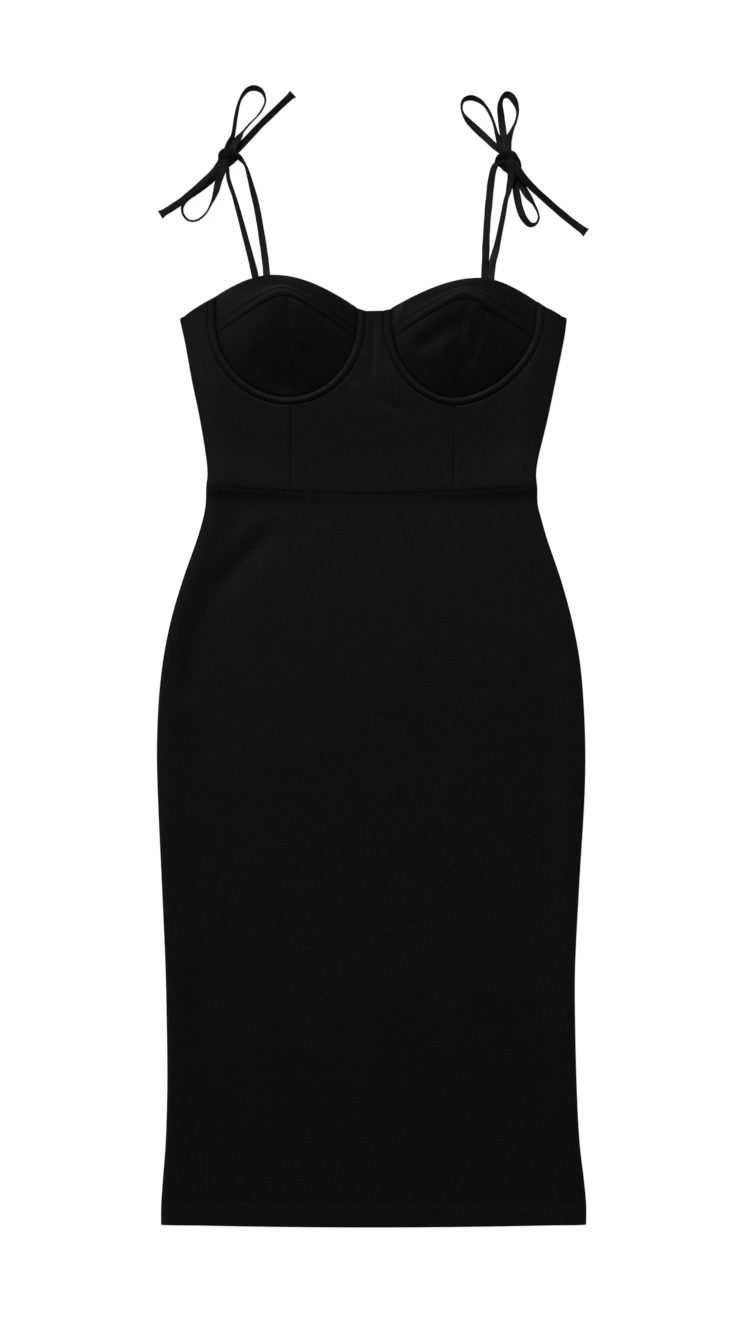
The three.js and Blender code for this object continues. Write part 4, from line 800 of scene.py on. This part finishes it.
for side, cup in CUPS.items():
    ends = {name: arch_ends(cup, cup[name]) for name in ("band_low", "band_top", "neckline")}

    def on_arch(name, u, crest):
        seam, (start, stop) = cup["seam_head"], ends[name]
        x = np.where(u < 0.5, mix(start, seam, 2 * u), mix(seam, stop, 2 * u - 1))
        y = arch_height(cup[name], x)
        rise = np.maximum(0, np.sin(math.pi * u)) ** CREST_POWER
        return np.stack([x, y, mix(front_height(x, y), crest, rise)], -1)

    def foot(u):
        inset, seam = CHANNEL_WIDTH + TRIM, cup["seam_foot"]
        band_ends = [on_arch("band_low", np.array(share), 0)[1] for share in (0.0, 1.0)]
        start, stop = (channel_at_height(cup, band_ends[k] - FOOT_START, inset, k == 0) for k in (0, 1))
        t = np.where(u < 0.5, mix(start, seam, 2 * u), mix(seam, stop, 2 * u - 1))
        x, y = channel_edge(cup, t, inset)
        return np.stack([x, y, front_height(x, y)], -1)

    def lower(u, v):
        start, stop = foot(u), on_arch("band_low", u, CUP_HEIGHT - BAND_TILT)
        reach = 1 - TRIM / np.linalg.norm(stop - start, axis=-1)
        places = mix(start, stop, (v * reach)[..., None])
        rise = mix(v, np.sin(v * math.pi / 2), LOWER_FULLNESS)
        clear_of_seams = soft(v, 0, 0.12) * (1 - soft(v, 0.96, 1))
        hollows = crease_depth(places[..., 0], places[..., 1], CREASES) * clear_of_seams
        places[..., 2] = mix(start[..., 2], stop[..., 2], rise) - hollows
        return places

    narrowest = NARROWEST_SHARE * (ends["band_low"][1] - ends["band_low"][0])
    seam_trim = TRIM / narrowest
    halves = {True: (0, 0.5 - seam_trim), False: (0.5 + seam_trim, 1)}
    for on_left, (start, stop) in halves.items():
        across = mix(start, stop, spacing(HALF_WIDTH, fine=0.2, coarse=1.5))
        u, v = np.meshgrid(across, spacing(LOWER_LENGTH, fine=0.25, coarse=1.5))
        places = lower(u, v)
        half_name = "outer" if on_left == (side == "left") else "inner"
        # At the upright seam only the left half is drawn in: the turned edges lie under the right one.
        sink = sewn_dip(places, ["left", "right", "low"] if on_left else ["right", "low"])
        make_cloth(f"cup_lower_{half_name}_{side}", places, sink)

    across = spacing(CUP_WIDTH, fine=0.5, coarse=1.5)
    u, v = np.meshgrid(across, spacing(BAND_WIDTH, fine=0.4, coarse=0.9))
    low, top = on_arch("band_low", u, CUP_HEIGHT - BAND_TILT), on_arch("band_top", u, CUP_HEIGHT)
    reach = TRIM / np.linalg.norm(top - low, axis=-1)
    places = mix(low, top, mix(reach, 1 - reach, v)[..., None])
    swell_share = soft(np.maximum(0, np.sin(math.pi * u)) ** CREST_POWER, 0, 0.3)
    places[..., 2] += BAND_SWELL * np.sin(math.pi * v) * swell_share
    sink = sewn_dip(places, ["left", "right", "low", "top"], 0.4, 0.9)
    make_cloth(f"cup_band_{side}", places, sink)
    for edge_row in EDGE_LINES:
        band_rows += stitch_forms(places[edge_row])

    u, v = np.meshgrid(across, spacing(UPPER_LENGTH, fine=0.4, coarse=1.1))
    low, top = on_arch("band_top", u, CUP_HEIGHT), on_arch("neckline", u, CUP_EDGE_HEIGHT)
    reach = TRIM / np.linalg.norm((top - low)[..., :2], axis=-1)
    places = mix(low, top, mix(reach, 1, v)[..., None])
    hollows = crease_depth(places[..., 0], places[..., 1], CREASES) * soft(v, 0, 0.15)
    places[..., 2] = mix(top[..., 2], low[..., 2], np.cos(v * math.pi / 2) ** 0.9) - hollows
    sink = sewn_dip(places, ["left", "right", "low"], 0.5, 1.3) + sewn_dip(places, ["top"], 0.5, 0.8)
    make_cloth(f"cup_upper_{side}", places, sink)
make_piece("band_stitches", band_rows, thread_finish)

# The surface that the dress lies on is plain and white.
# It is lit from over the top of the dress, more faintly from both sides, and a little from all round.
FLOOR_DROP = 0.0004
bpy.ops.mesh.primitive_plane_add(size=8, location=(0, 0, -FLOOR_DROP))
floor = bpy.context.object
floor.name = "floor"
white = bpy.data.materials.new("white_board")
white.use_nodes = True
board = white.node_tree.nodes["Principled BSDF"].inputs
board["Base Color"].default_value = (0.5, 0.5, 0.5, 1)
board["Roughness"].default_value = 0.9
board["Specular IOR Level"].default_value = 0
board["Emission Color"].default_value = (1, 1, 1, 1)
board["Emission Strength"].default_value = 0.95
floor.data.materials.append(white)
floor.visible_glossy = False
# Each row: place, size and power. They all point at the middle of the dress.
LIGHTS = {
    "over_the_top": ((-0.9, 4.1, 3.4), 1.2, 69),
    "left_side": ((-2.9, 0.4, 1.9), 1.5, 10),
    "right_side": ((2.9, 0.2, 1.9), 1.5, 6),
}
for name, (place, size, power) in LIGHTS.items():
    data = bpy.data.lights.new(name, "AREA")
    data.size = size
    data.energy = power
    lamp = bpy.data.objects.new(name, data)
    lamp.location = place
    toward = -np.array(place)
    tilt, heading = math.acos(-toward[2] / np.linalg.norm(toward)), math.atan2(-toward[0], toward[1])
    lamp.rotation_euler = (tilt, 0, heading)
    bpy.context.scene.collection.objects.link(lamp)
world = bpy.data.worlds.new("studio")
world.use_nodes = True
world.node_tree.nodes["Background"].inputs["Color"].default_value = (1, 1, 1, 1)
world.node_tree.nodes["Background"].inputs["Strength"].default_value = 0.03
bpy.context.scene.world = world
